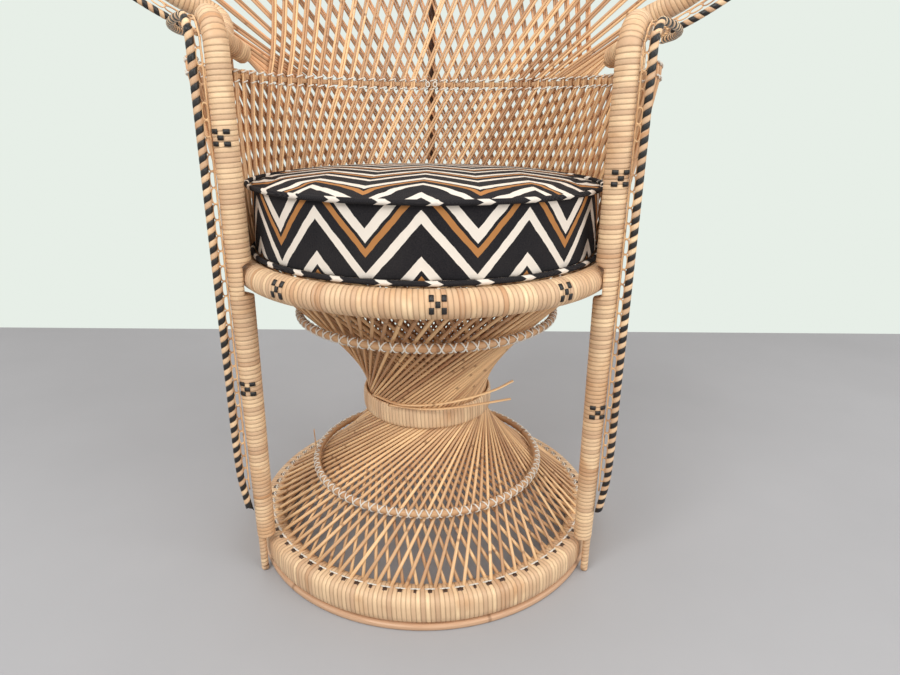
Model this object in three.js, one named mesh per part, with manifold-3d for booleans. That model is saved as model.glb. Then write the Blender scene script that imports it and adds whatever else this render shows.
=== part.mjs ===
// Peacock chair: an hourglass base of twisted canes, a wound seat ring, two wound arms,
// a fan-shaped back of crossing canes and a loose round cushion.
// Millimetres, +Z up. The chair faces -Y and its base ring is centred on the Z axis.
import * as THREE from 'three';
import { mergeVertices } from 'three/addons/utils/BufferGeometryUtils.js';
import Module from 'manifold-3d';

const wasm = await Module();
wasm.setup();

// Driving dimensions
const RING_RADIUS = 252;
const SEAT_HEIGHT = 426;
const WAIST_RADIUS = 92;
const ARM_HEIGHT = 700;
const BACK_WIDTH = 1129;
const BACK_HEIGHT = 1484;
const POST_ANGLE = THREE.MathUtils.degToRad(32);
const CUSHION_HEIGHT = 88;
const CUSHION_CROWN = 11;

// Sizes of the stock
const CANE_WIDTH = 4.8;
const CANE_THICKNESS = 4;
const BORDER_RADIUS = 4.5;
const LACE_RADIUS = 1.3;
const LACE_REACH = 1.06 * LACE_RADIUS;
const HOOP_RADIUS = 5;
const ROLL_RADIUS = 15;
const ARCH_RADIUS = 8;
const RIB_RADIUS = 6;
const POST_DEPTH = 13;
const COVER = 2;
const PIPING_RADIUS = 3.2;

// Counts
const BASE_CANES = 44;
const BACK_CANES = 48;
const RING_FACETS = 32;
const CUSHION_FACETS = 32;
const SIDE_LACE_BENDS = 42;
const FAN_LACE_BENDS = 68;
const SPOKE_TIPS = 27;

// Gap that is left between pieces that touch
const CLEARANCE = 0.5;

// Base ring
const BASE_RADIUS = RING_RADIUS - 2;
const RIM_HEIGHT = 14;
const BASE_TOP = 48;
const BASE_GROOVE = 42;
const BASE_WIDTH = 36;
const BASE_LIP = 9;
const BASE_ROUND = 8;
const BASE_CANE_RADIUS = BASE_RADIUS - 20;
const RIM_WIDTH = 27;
const RIM_INSET = 1;

// Seat ring
const SEAT_TUBE = 16;
const SEAT_TUBE_RADIUS = RING_RADIUS - SEAT_TUBE;
const SEAT_TUBE_Z = SEAT_HEIGHT - SEAT_TUBE;
const SEAT_FACETS = 12;
const SEAT_LEDGE_TOP = SEAT_TUBE_Z + 6.5;
const SEAT_LEDGE_BOTTOM = SEAT_TUBE_Z - 10;
const SEAT_LEDGE_RADIUS = RING_RADIUS - 44;
const SEAT_LEDGE_FOOT = SEAT_TUBE_RADIUS - 0.4 * SEAT_TUBE;
const SEAT_LIP_RADIUS = SEAT_TUBE_RADIUS - 0.62 * SEAT_TUBE;
const SEAT_LIP_TOP = SEAT_HEIGHT - 0.25 * SEAT_TUBE;
const SEAT_CANE_RADIUS = RING_RADIUS - 33;
const DECK_TOP = SEAT_HEIGHT - 1;
const FLAT_TOP = SEAT_TUBE_Z + SEAT_TUBE * Math.cos(Math.PI / SEAT_FACETS);
const FLAT_BOTTOM = 2 * SEAT_TUBE_Z - FLAT_TOP;

// Waist
const WAIST_Z = 0.486 * SEAT_HEIGHT;
const WAIST_BAND_HEIGHT = 29;
const WAIST_BAND_THICKNESS = 5;
const WAIST_TIE_HEIGHT = 20;
const WAIST_BULGE = 1;
const FAMILY_STEP = 9.5;
const TIE_SHARE = 0.6;

// Back
const FOOT_RADIUS = SEAT_TUBE_RADIUS + 2.5;
const BAND_TOP = ARM_HEIGHT - 54;
const BAND_BOTTOM = BAND_TOP - 14;
const BAND_RADIUS = RING_RADIUS + 22;
const LAYER_STEP = 3.7;
const TIE_THICKNESS = 6.8;
const POST_SPARE = 0.075;
const BUCKET_HALF_ANGLE = Math.PI / 2 + POST_ANGLE - POST_SPARE;
const FAN_HALF_ANGLE = THREE.MathUtils.degToRad(62);
const BUCKET_SHIFT = 0.11;
const FAN_SHIFT = 0.3;
const BACK_LEAN = 0.17;
const FLAT_CURVATURE = 1 / 1000;
const WING_CURVE = 1.11;
const FAN_STATIONS = 5;
const STATION_CROWDING = 1.4;
const LEVEL_STRETCH = 2.2;

// Fan outline, as half ellipses in the front view
const FAN_RISE = BACK_HEIGHT - BAND_TOP;
const FAN_CENTRE = BAND_TOP + 0.482 * FAN_RISE;
const BORDER_A = BACK_WIDTH / 2 - BORDER_RADIUS;
const BORDER_B = BACK_HEIGHT - BORDER_RADIUS - FAN_CENTRE;
const BORDER_STEP = 27;
const ROLL_A = BORDER_A - BORDER_STEP;
const ROLL_B = BORDER_B - BORDER_STEP;
const WING_ANGLE = THREE.MathUtils.degToRad(146);
const ROLL_FOOT_ANGLE = THREE.MathUtils.degToRad(76);
const ROLL_FOOT_RADIUS = BAND_RADIUS + 11;
const ROLL_FOOT_HEIGHT = 22;
const WING_X = BORDER_A * Math.sin(WING_ANGLE);
const WING_RISE = FAN_CENTRE + BORDER_B * Math.cos(WING_ANGLE) - BAND_TOP;
const WING_CURVATURE = 1 / (WING_CURVE * WING_X) - FLAT_CURVATURE;
const FLARE_HEIGHT = -WING_RISE / Math.log(WING_CURVATURE / (1 / BAND_RADIUS - FLAT_CURVATURE));
const SPRING_Z = BAND_TOP + 0.1713 * FAN_RISE;
const ARCH_B = 0.4427 * FAN_RISE;
const ROLL_FACETS = 8;
const ARCH_FACETS = 6;
const FIRST_SPOKE = 0.16;
const SPOKE_TIP_HALF = 0.006;
const SPOKE_SPREAD = 1.22;
const SPOKE_SEAT = 0.8;
const LACE_SPARE = 0.05;
const RIB_RISE = 12;
const RIB_LEAN = 3;

// Posts and arms
const POST_RADIUS = RING_RADIUS + 1;
const POST_LOW_DEPTH = POST_DEPTH - 1.2;
const POST_SEAT_DEPTH = POST_DEPTH + 1.6;
const POST_FOOT_DEPTH = POST_DEPTH - 2.5;
const POST_FOOT_HALF_WIDTH = 5.4;
const POST_FOOT_TAPER = 4;
const ARM_BEND = 34;
const ARM_Z = ARM_HEIGHT - POST_DEPTH;
const ARM_END_Z = BAND_TOP + 20;
const ARM_END_ANGLE = THREE.MathUtils.degToRad(14);
const BORDER_END_ANGLE = THREE.MathUtils.degToRad(13);
const SIDE_BORDER_STEP = 26;
const BORDER_END_RADIUS = WING_X / Math.cos(BORDER_END_ANGLE) + 1.6;
const BORDER_END_SPREAD = BORDER_END_RADIUS - POST_RADIUS - SIDE_BORDER_STEP;
const SIDE_BORDER_FOOT = 2 * BASE_TOP;
const SIDE_LACE_FOOT = 3.8 * BASE_TOP;

// Cushion
const CUSHION_RADIUS = RING_RADIUS - 21;
const CUSHION_BOTTOM = DECK_TOP + CLEARANCE;
const CUSHION_TOP = CUSHION_BOTTOM + CUSHION_HEIGHT;
const CUSHION_DRAWN = 2;

const FINISHES = {
  winding: { color: 0xd9b27c, roughness: 0.55, metalness: 0 },
  cane: { color: 0xbf8a55, roughness: 0.6, metalness: 0 },
  striped: { color: 0x8a6f4e, roughness: 0.55, metalness: 0 },
  deck: { color: 0x9c7648, roughness: 0.7, metalness: 0 },
  print: { color: 0x8f8478, roughness: 0.9, metalness: 0 },
  piping: { color: 0x1e1c1d, roughness: 0.9, metalness: 0 },
  foam: { color: 0xe8e0cc, roughness: 0.95, metalness: 0 },
};

const chair = new THREE.Group();

// Adds one named piece to the chair
function piece(name, geometry, finish) {
  const mesh = new THREE.Mesh(geometry, new THREE.MeshStandardMaterial(FINISHES[finish]));
  mesh.name = name;
  chair.add(mesh);
}

function polar(radius, angle, z) {
  return new THREE.Vector3(radius * Math.cos(angle), radius * Math.sin(angle), z);
}

function mirrored(points) {
  return points.map((p) => new THREE.Vector3(-p.x, p.y, p.z));
}

// A closed geometry from corner points and triangles, with its faces turned outwards
function closedGeometry(points, triangles) {
  let volume = 0;
  for (const [a, b, c] of triangles) {
    volume += points[a].dot(points[b].clone().cross(points[c]));
  }
  const facing = volume < 0 ? triangles.map(([a, b, c]) => [a, c, b]) : triangles;
  const geometry = new THREE.BufferGeometry().setFromPoints(points);
  geometry.setIndex(facing.flat());
  geometry.computeVertexNormals();
  return geometry;
}

// The two triangles of a four-cornered face
function quad(a, b, c, d) {
  return [
    [a, b, c],
    [a, c, d],
  ];
}

// The side faces between two rings of corners that start at the given indices
function sides(from, to, count) {
  const faces = [];
  for (let k = 0; k < count; k += 1) {
    const next = (k + 1) % count;
    faces.push(...quad(from + k, from + next, to + next, to + k));
  }
  return faces;
}

// The end face of a convex ring of corners
function cap(start, count, turned) {
  const faces = [];
  for (let k = 1; k + 1 < count; k += 1) {
    faces.push(turned ? [start, start + k + 1, start + k] : [start, start + k, start + k + 1]);
  }
  return faces;
}

// A solid through a row of convex sections that all have the same number of corners
function loft(rings) {
  const count = rings[0].length;
  const last = (rings.length - 1) * count;
  const faces = cap(0, count, true);
  for (let i = 0; i + 1 < rings.length; i += 1) {
    faces.push(...sides(i * count, (i + 1) * count, count));
  }
  faces.push(...cap(last, count, false));
  return closedGeometry(rings.flat(), faces);
}

// A ring or disc turned about the chair's axis from a profile of [radius, z] pairs
function turned(profile, facets) {
  const geometry = new THREE.LatheGeometry(
    [...profile, profile[0]].map(([r, z]) => new THREE.Vector2(r, z)),
    facets,
  );
  geometry.rotateX(Math.PI / 2);
  return welded(geometry);
}

// Joins shared corners, drops flat triangles and turns the faces outwards
function welded(geometry) {
  geometry.deleteAttribute('normal');
  geometry.deleteAttribute('uv');
  const merged = mergeVertices(geometry, 1e-4);
  const points = [];
  const position = merged.getAttribute('position');
  for (let i = 0; i < position.count; i += 1) {
    points.push(new THREE.Vector3().fromBufferAttribute(position, i));
  }
  const triangles = [];
  const index = merged.getIndex().array;
  for (let i = 0; i < index.length; i += 3) {
    const [a, b, c] = index.slice(i, i + 3);
    if (a !== b && b !== c && c !== a) {
      triangles.push([a, b, c]);
    }
  }
  return closedGeometry(points, triangles);
}

// A round bar along a smooth path
function bar(points, radius, facets, steps) {
  const outline = new THREE.Shape();
  for (let k = 0; k < facets; k += 1) {
    const angle = (2 * Math.PI * k) / facets;
    const corner = [radius * Math.cos(angle), radius * Math.sin(angle)];
    if (k === 0) {
      outline.moveTo(...corner);
    } else {
      outline.lineTo(...corner);
    }
  }
  const extrudePath = new THREE.CatmullRomCurve3(points);
  return welded(new THREE.ExtrudeGeometry(outline, { steps, extrudePath, curveSegments: 1 }));
}

// A square cane that runs through bends, with its section held across each bend
function bentCane(points, radius, normals) {
  return loft(points.map((p, i) => {
    const before = points[Math.max(i - 1, 0)];
    const after = points[Math.min(i + 1, points.length - 1)];
    const along = after.clone().sub(before).normalize();
    const normal = normals[i].clone().addScaledVector(along, -along.dot(normals[i])).normalize();
    const across = along.clone().cross(normal);
    return [[-1, 1], [1, 1], [1, -1], [-1, -1]].map(([s, n]) => (
      p.clone().addScaledVector(across, s * radius).addScaledVector(normal, n * radius)
    ));
  }));
}

function manifold(geometry) {
  return new wasm.Manifold(new wasm.Mesh({
    numProp: 3,
    vertProperties: new Float32Array(geometry.getAttribute('position').array),
    triVerts: new Uint32Array(geometry.getIndex().array),
  }));
}

// A piece cut back by its neighbours, without the offcuts beyond them
function cutBack(geometry, neighbours) {
  let solid = manifold(geometry);
  for (const neighbour of neighbours) {
    solid = solid.subtract(manifold(neighbour));
  }
  const [largest] = solid.decompose().sort((a, b) => b.volume() - a.volume());
  const { vertProperties, triVerts } = largest.getMesh();
  const result = new THREE.BufferGeometry();
  result.setAttribute('position', new THREE.BufferAttribute(vertProperties, 3));
  result.setIndex(Array.from(triVerts));
  result.computeVertexNormals();
  return result;
}

// How far the middle of a facet lies inside its circle
function facetDepth(radius) {
  return radius * (1 - Math.cos(Math.PI / RING_FACETS));
}

// Hourglass base: each family leans one way and is tangent to the waist
function family(layer) {
  const inset = WAIST_BAND_THICKNESS + CLEARANCE + CANE_THICKNESS / 2 + layer * FAMILY_STEP;
  const waist = WAIST_RADIUS - inset;
  const step = (0.5 - layer) * FAMILY_STEP;
  return {
    waist,
    halfWidth: (TIE_SHARE * waist * Math.PI) / BASE_CANES,
    lean: layer === 0 ? 1 : -1,
    foot: { radius: BASE_CANE_RADIUS + step, z: BASE_GROOVE + CLEARANCE, side: -1 },
    head: { radius: SEAT_CANE_RADIUS + step, z: SEAT_LEDGE_BOTTOM - CLEARANCE, side: 1 },
  };
}

// The four corners of a level cut through the cane that leaves the waist at the given angle
function levelCut(shape, angle, centre) {
  const round = polar(1, angle + Math.PI / 2, 0);
  const outward = polar(1, angle, 0);
  return [[-1, 1], [1, 1], [1, -1], [-1, -1]].map(([s, n]) => {
    const corner = centre.clone().addScaledVector(round, s * shape.halfWidth);
    return corner.addScaledVector(outward, (n * CANE_THICKNESS) / 2);
  });
}

// A cane's far end, cut level where it is let into a ring
function caneEnd(shape, end, angle) {
  const turn = end.side * shape.lean * Math.acos(shape.waist / end.radius);
  return levelCut(shape, angle, polar(end.radius, angle + turn, end.z));
}

// The faces of a tie between the edges of two neighbours, each edge a set of corner indices
function tieFaces(from, to) {
  return [
    ...quad(from.outerLow, to.outerLow, to.outerHigh, from.outerHigh),
    ...quad(to.innerLow, from.innerLow, from.innerHigh, to.innerHigh),
    ...quad(from.outerHigh, to.outerHigh, to.innerHigh, from.innerHigh),
    ...quad(from.innerLow, to.innerLow, to.outerLow, from.outerLow),
  ];
}

// The two edges of a four-cornered stretch between the sections that start at low and high
function tieEdges(low, high) {
  return {
    start: { outerLow: low, innerLow: low + 3, outerHigh: high, innerHigh: high + 3 },
    end: { outerLow: low + 1, innerLow: low + 2, outerHigh: high + 1, innerHigh: high + 2 },
  };
}

function tieStart(edge) {
  return quad(edge.innerLow, edge.outerLow, edge.outerHigh, edge.innerHigh);
}

function tieEnd(edge) {
  return quad(edge.outerLow, edge.innerLow, edge.innerHigh, edge.outerHigh);
}

// A quarter of one family, below or above the middle of the tie that binds it at the waist
function baseCanes(layer, quarter, end) {
  const shape = family(layer);
  const pitch = (2 * Math.PI) / BASE_CANES;
  const count = BASE_CANES / 4;
  const middle = WAIST_Z + (end.side * CLEARANCE) / 2;
  const outer = WAIST_Z + (end.side * WAIST_TIE_HEIGHT) / 2;
  const points = [];
  const faces = [];
  let previous = null;
  for (let i = 0; i < count; i += 1) {
    const angle = (quarter * count + i) * pitch;
    const tie = (z) => levelCut(shape, angle, polar(shape.waist, angle, z));
    const low = points.length;
    const high = low + 4;
    const far = low + 8;
    const below = end.side < 0;
    points.push(...tie(below ? outer : middle), ...tie(below ? middle : outer));
    points.push(...caneEnd(shape, end, angle));
    const edges = tieEdges(low, high);
    faces.push(...quad(low, low + 1, high + 1, high), ...quad(low + 2, low + 3, high + 3, high + 2));
    if (below) {
      faces.push(...cap(far, 4, true), ...sides(far, low, 4), ...cap(high, 4, false));
    } else {
      faces.push(...cap(low, 4, true), ...sides(high, far, 4), ...cap(far, 4, false));
    }
    faces.push(...(previous === null ? tieStart(edges.start) : tieFaces(previous, edges.start)));
    previous = edges.end;
  }
  faces.push(...tieEnd(previous));
  return closedGeometry(points, faces);
}

// A hoop tied round the outer canes at the given height of the hourglass
function tiedHoop(height) {
  const shape = family(0);
  const end = height < WAIST_Z ? shape.foot : shape.head;
  const tieZ = WAIST_Z + (end.side * WAIST_TIE_HEIGHT) / 2;
  const run = Math.sqrt(end.radius ** 2 - shape.waist ** 2);
  const out = (run * (height - tieZ)) / (end.z - tieZ);
  const radius = Math.hypot(shape.waist, out);
  const slope = Math.atan((out / radius) * (run / Math.abs(end.z - tieZ)));
  const depth = ((CANE_THICKNESS / 2) * shape.waist + shape.halfWidth * Math.abs(out)) / radius;
  const reach = depth * Math.cos(slope) + CLEARANCE + HOOP_RADIUS + facetDepth(radius);
  const centre = [radius + reach * Math.cos(slope), height - end.side * reach * Math.sin(slope)];
  const profile = [];
  const corners = 5;
  for (let k = 0; k < corners; k += 1) {
    const angle = (2 * Math.PI * k) / corners;
    profile.push([
      centre[0] + HOOP_RADIUS * Math.cos(angle),
      centre[1] + HOOP_RADIUS * Math.sin(angle),
    ]);
  }
  return turned(profile, RING_FACETS);
}

function waistBand() {
  const inner = WAIST_RADIUS - WAIST_BAND_THICKNESS + facetDepth(WAIST_RADIUS);
  const half = WAIST_BAND_HEIGHT / 2;
  return turned([
    [inner, WAIST_Z - half],
    [WAIST_RADIUS, WAIST_Z - half],
    [WAIST_RADIUS + WAIST_BULGE, WAIST_Z],
    [WAIST_RADIUS, WAIST_Z + half],
    [inner, WAIST_Z + half],
  ], RING_FACETS);
}

function baseRim() {
  const outer = BASE_RADIUS - RIM_INSET;
  return turned([
    [outer - RIM_WIDTH, 0],
    [outer, 0],
    [outer, RIM_HEIGHT],
    [outer - RIM_WIDTH, RIM_HEIGHT],
  ], RING_FACETS);
}

// The wound base ring has a groove in its top for the feet of the canes
function baseRing() {
  const inner = BASE_RADIUS - BASE_WIDTH;
  return turned([
    [inner, RIM_HEIGHT + CLEARANCE],
    [BASE_RADIUS - 0.7 * BASE_ROUND, RIM_HEIGHT + CLEARANCE],
    [BASE_RADIUS, RIM_HEIGHT + BASE_ROUND],
    [BASE_RADIUS, BASE_TOP - BASE_ROUND],
    [BASE_RADIUS - 0.7 * BASE_ROUND, BASE_TOP],
    [BASE_RADIUS - BASE_LIP, BASE_TOP],
    [BASE_RADIUS - BASE_LIP, BASE_GROOVE],
    [inner, BASE_GROOVE],
  ], RING_FACETS);
}

// The wound seat ring is round outside, with a ledge inside for the deck and the canes' heads
function seatRing() {
  const profile = [
    [SEAT_LEDGE_RADIUS, SEAT_LEDGE_TOP],
    [SEAT_LEDGE_RADIUS, SEAT_LEDGE_BOTTOM],
    [SEAT_LEDGE_FOOT, SEAT_LEDGE_BOTTOM],
  ];
  const outerFacets = 7;
  for (let k = 0; k <= outerFacets; k += 1) {
    const angle = (2 * Math.PI * (k - outerFacets / 2)) / SEAT_FACETS;
    profile.push([
      SEAT_TUBE_RADIUS + SEAT_TUBE * Math.cos(angle),
      SEAT_TUBE_Z + SEAT_TUBE * Math.sin(angle),
    ]);
  }
  profile.push([SEAT_LIP_RADIUS, SEAT_LIP_TOP], [SEAT_LIP_RADIUS, SEAT_LEDGE_TOP]);
  return turned(profile, RING_FACETS);
}

function seatDeck() {
  const outer = SEAT_LIP_RADIUS - CLEARANCE;
  return turned([
    [0, SEAT_LEDGE_TOP + CLEARANCE],
    [outer, SEAT_LEDGE_TOP + CLEARANCE],
    [outer, DECK_TOP],
    [0, DECK_TOP],
  ], RING_FACETS);
}

// Post: half-round poles that lie flat to flat, thickest at the seat
function postDepth(z) {
  if (z < SEAT_HEIGHT) {
    return THREE.MathUtils.mapLinear(z, BASE_TOP, SEAT_HEIGHT, POST_LOW_DEPTH, POST_SEAT_DEPTH);
  }
  return THREE.MathUtils.mapLinear(z, SEAT_HEIGHT, ARM_Z, POST_SEAT_DEPTH, POST_DEPTH);
}

// One half-round section; side is 1 for the outer half and -1 for the inner one
function halfRound(centre, radial, along, side, depth, halfWidth) {
  const across = along.clone().cross(radial).normalize();
  const arcSteps = 6;
  const ring = [];
  for (let k = 0; k <= arcSteps; k += 1) {
    const angle = Math.PI * (k / arcSteps - 0.5);
    const corner = centre.clone();
    corner.addScaledVector(radial, side * (CLEARANCE / 2 + depth * Math.cos(angle)));
    corner.addScaledVector(across, halfWidth * Math.sin(angle));
    ring.push(corner);
  }
  return ring;
}

// The arm's path: over the bend at the post's top, then back and down to the foot of the rim roll
function armPath(step, endAngle, endRadius, endZ, count) {
  const startAngle = -POST_ANGLE;
  const radius = POST_RADIUS + step;
  const path = [];
  const bendSteps = 4;
  for (let k = 0; k <= bendSteps; k += 1) {
    const turn = ((Math.PI / 2) * k) / bendSteps;
    const angle = startAngle + (ARM_BEND * (1 - Math.cos(turn))) / radius;
    path.push(polar(radius, angle, ARM_Z - ARM_BEND + ARM_BEND * Math.sin(turn)));
  }
  const fromAngle = startAngle + ARM_BEND / radius;
  for (let k = 1; k <= count; k += 1) {
    const t = k / count;
    const angle = THREE.MathUtils.lerp(fromAngle, endAngle, t);
    const z = THREE.MathUtils.lerp(ARM_Z, endZ, t * t);
    path.push(polar(THREE.MathUtils.lerp(radius, endRadius, t), angle, z));
  }
  return path;
}

// Sections of a half-round pole along a path on the right side of the chair
function poleSections(path, side) {
  return path.map((p, i) => {
    const before = path[Math.max(i - 1, 0)];
    const after = path[Math.min(i + 1, path.length - 1)];
    const along = after.clone().sub(before).normalize();
    const radial = new THREE.Vector3(p.x, p.y, 0).normalize();
    const depth = postDepth(p.z);
    return halfRound(p, radial, along, side, depth, depth);
  });
}

function postLine(levels) {
  return levels.map((z) => polar(POST_RADIUS, -POST_ANGLE, z));
}

const ARM_END_RADIUS = BAND_RADIUS - LAYER_STEP - TIE_THICKNESS / 2 - 2 * CLEARANCE - POST_DEPTH;

function armLine() {
  return armPath(0, ARM_END_ANGLE, ARM_END_RADIUS, ARM_END_Z, 7);
}

// The outer pole stands on the floor on a thinner foot beside the base ring
function outerPole() {
  const straight = postLine([BASE_TOP + POST_FOOT_TAPER, 0.5 * SEAT_HEIGHT, SEAT_HEIGHT]);
  const sections = poleSections([...straight, ...armLine()], 1);
  const upright = new THREE.Vector3(0, 0, 1);
  const radial = polar(1, -POST_ANGLE, 0);
  const foot = postLine([0, BASE_TOP - POST_FOOT_TAPER]).map((p) => (
    halfRound(p, radial, upright, 1, POST_FOOT_DEPTH, POST_FOOT_HALF_WIDTH)
  ));
  return [...foot, ...sections];
}

function lowerStrut() {
  const levels = [BASE_TOP + CLEARANCE, 0.5 * SEAT_HEIGHT, FLAT_BOTTOM - CLEARANCE];
  return poleSections(postLine(levels), -1);
}

function upperPole() {
  const straight = postLine([FLAT_TOP + CLEARANCE]);
  return poleSections([...straight, ...armLine()], -1);
}

// The striped hoop beside post and arm: it springs from the post near the floor
function sideBorderPath() {
  const foot = SIDE_BORDER_FOOT;
  const touching = 1.5 * CLEARANCE + postDepth(foot) + BORDER_RADIUS;
  const halfway = (touching + SIDE_BORDER_STEP) / 2;
  const path = [
    polar(POST_RADIUS + touching, -POST_ANGLE, foot),
    polar(POST_RADIUS + halfway, -POST_ANGLE, 1.3 * foot),
    polar(POST_RADIUS + SIDE_BORDER_STEP, -POST_ANGLE, 1.8 * foot),
    polar(POST_RADIUS + SIDE_BORDER_STEP, -POST_ANGLE, SEAT_HEIGHT),
  ];
  return [...path, ...sideBorderArm(SIDE_BORDER_STEP)];
}

function sideBorderArm(step) {
  const spread = (BORDER_END_SPREAD * step) / SIDE_BORDER_STEP;
  return armPath(step, BORDER_END_ANGLE, POST_RADIUS + step + spread, ARM_Z + 2, 4);
}

// The lace swings between the post's face and the border hoop
function sideLace() {
  const inner = 1.5 * CLEARANCE + postDepth(SEAT_HEIGHT) + LACE_REACH;
  const outer = SIDE_BORDER_STEP - BORDER_RADIUS - CLEARANCE - LACE_REACH;
  const middle = (inner + outer) / 2;
  const path = new THREE.CatmullRomCurve3([
    polar(POST_RADIUS + middle, -POST_ANGLE, SIDE_LACE_FOOT),
    polar(POST_RADIUS + middle, -POST_ANGLE, SEAT_HEIGHT),
    ...sideBorderArm(middle),
  ]);
  const centres = path.getSpacedPoints(SIDE_LACE_BENDS);
  const points = [];
  const normals = [];
  centres.forEach((p, i) => {
    const radial = new THREE.Vector3(p.x, p.y, 0).normalize();
    const swing = (i % 2 === 0 ? -1 : 1) * ((outer - inner) / 2);
    points.push(p.clone().addScaledVector(radial, swing));
    normals.push(radial.cross(new THREE.Vector3(0, 0, 1)));
  });
  return bentCane(points, LACE_RADIUS, normals);
}

// Back surface: a cone up to the tie band, then a leaning and flattening fan
function fanCurveRadius(z) {
  const fade = Math.exp(-(z - BAND_TOP) / FLARE_HEIGHT);
  return 1 / (FLAT_CURVATURE + (1 / BAND_RADIUS - FLAT_CURVATURE) * fade);
}

// A point of the fan at a place in the front view, set back by the offset
function fanPoint(x, z, offset = 0) {
  const radius = fanCurveRadius(z);
  const angle = Math.asin(x / radius);
  const rear = BAND_RADIUS + BACK_LEAN * (z - BAND_TOP);
  const centre = new THREE.Vector3(x, rear - radius * (1 - Math.cos(angle)), z);
  return centre.add(new THREE.Vector3(Math.sin(angle), Math.cos(angle), 0).multiplyScalar(offset));
}

// A level section of a back cane: outward is the direction away from the sitter
function caneSection(centre, outward, lean, thickness) {
  const across = new THREE.Vector3(outward.y, -outward.x, 0);
  const halfWidth = (CANE_WIDTH / 2) * Math.min(Math.hypot(1, lean), LEVEL_STRETCH);
  return [[-1, 1], [1, 1], [1, -1], [-1, -1]].map(([s, n]) => (
    centre.clone().addScaledVector(across, s * halfWidth).addScaledVector(outward, (n * thickness) / 2)
  ));
}

// The fan's edge in the front view, from the left wing over the arch to the right wing
function fanEdge() {
  const half = [];
  const wingSteps = 8;
  const spring = Math.acos((SPRING_Z - FAN_CENTRE) / ROLL_B);
  half.push(new THREE.Vector2(ROLL_FOOT_RADIUS * Math.sin(ROLL_FOOT_ANGLE), BAND_TOP));
  for (let k = 0; k <= wingSteps; k += 1) {
    const angle = THREE.MathUtils.lerp(WING_ANGLE, spring, k / wingSteps);
    half.push(new THREE.Vector2(ROLL_A * Math.sin(angle), FAN_CENTRE + ROLL_B * Math.cos(angle)));
  }
  const archSteps = 24;
  for (let k = 1; k <= archSteps; k += 1) {
    const angle = ((Math.PI / 2) * k) / archSteps;
    half.push(archSpot(angle / Math.PI, 0));
  }
  const left = half.map((p) => new THREE.Vector2(-p.x, p.y));
  return [...left, ...half.reverse().slice(1)];
}

function archHalfWidth() {
  const spring = Math.acos((SPRING_Z - FAN_CENTRE) / ROLL_B);
  return ROLL_A * Math.sin(spring);
}

// The point at a share of the length of a row of points
function alongRow(row, share) {
  const lengths = row.slice(1).map((p, i) => p.distanceTo(row[i]));
  let rest = share * lengths.reduce((sum, length) => sum + length, 0);
  for (let i = 0; i < lengths.length; i += 1) {
    if (rest <= lengths[i]) {
      return row[i].clone().lerp(row[i + 1], rest / lengths[i]);
    }
    rest -= lengths[i];
  }
  return row[row.length - 1].clone();
}

// The share of the way from start to aim at which a row of points is first crossed
function firstCrossing(start, aim, row) {
  const way = aim.clone().sub(start);
  let first = 1;
  for (let i = 0; i + 1 < row.length; i += 1) {
    const stretch = row[i + 1].clone().sub(row[i]);
    const offset = row[i].clone().sub(start);
    const turn = way.cross(stretch);
    const onWay = offset.cross(stretch) / turn;
    const onStretch = offset.cross(way) / turn;
    if (onWay > 0 && onWay < first && onStretch >= 0 && onStretch <= 1) {
      first = onWay;
    }
  }
  return first;
}

// Sideways shift of a leaning cane: none at the two edges, most in the middle
function shifted(share, amount) {
  return share + amount * 4 * share * (1 - share);
}

// Where a cane of the back starts on the seat ring and where it crosses the tie band
function bucketAngle(share, lean) {
  return BUCKET_HALF_ANGLE * (2 * shifted(share, (lean * BUCKET_SHIFT) / 2) - 1);
}

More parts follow.
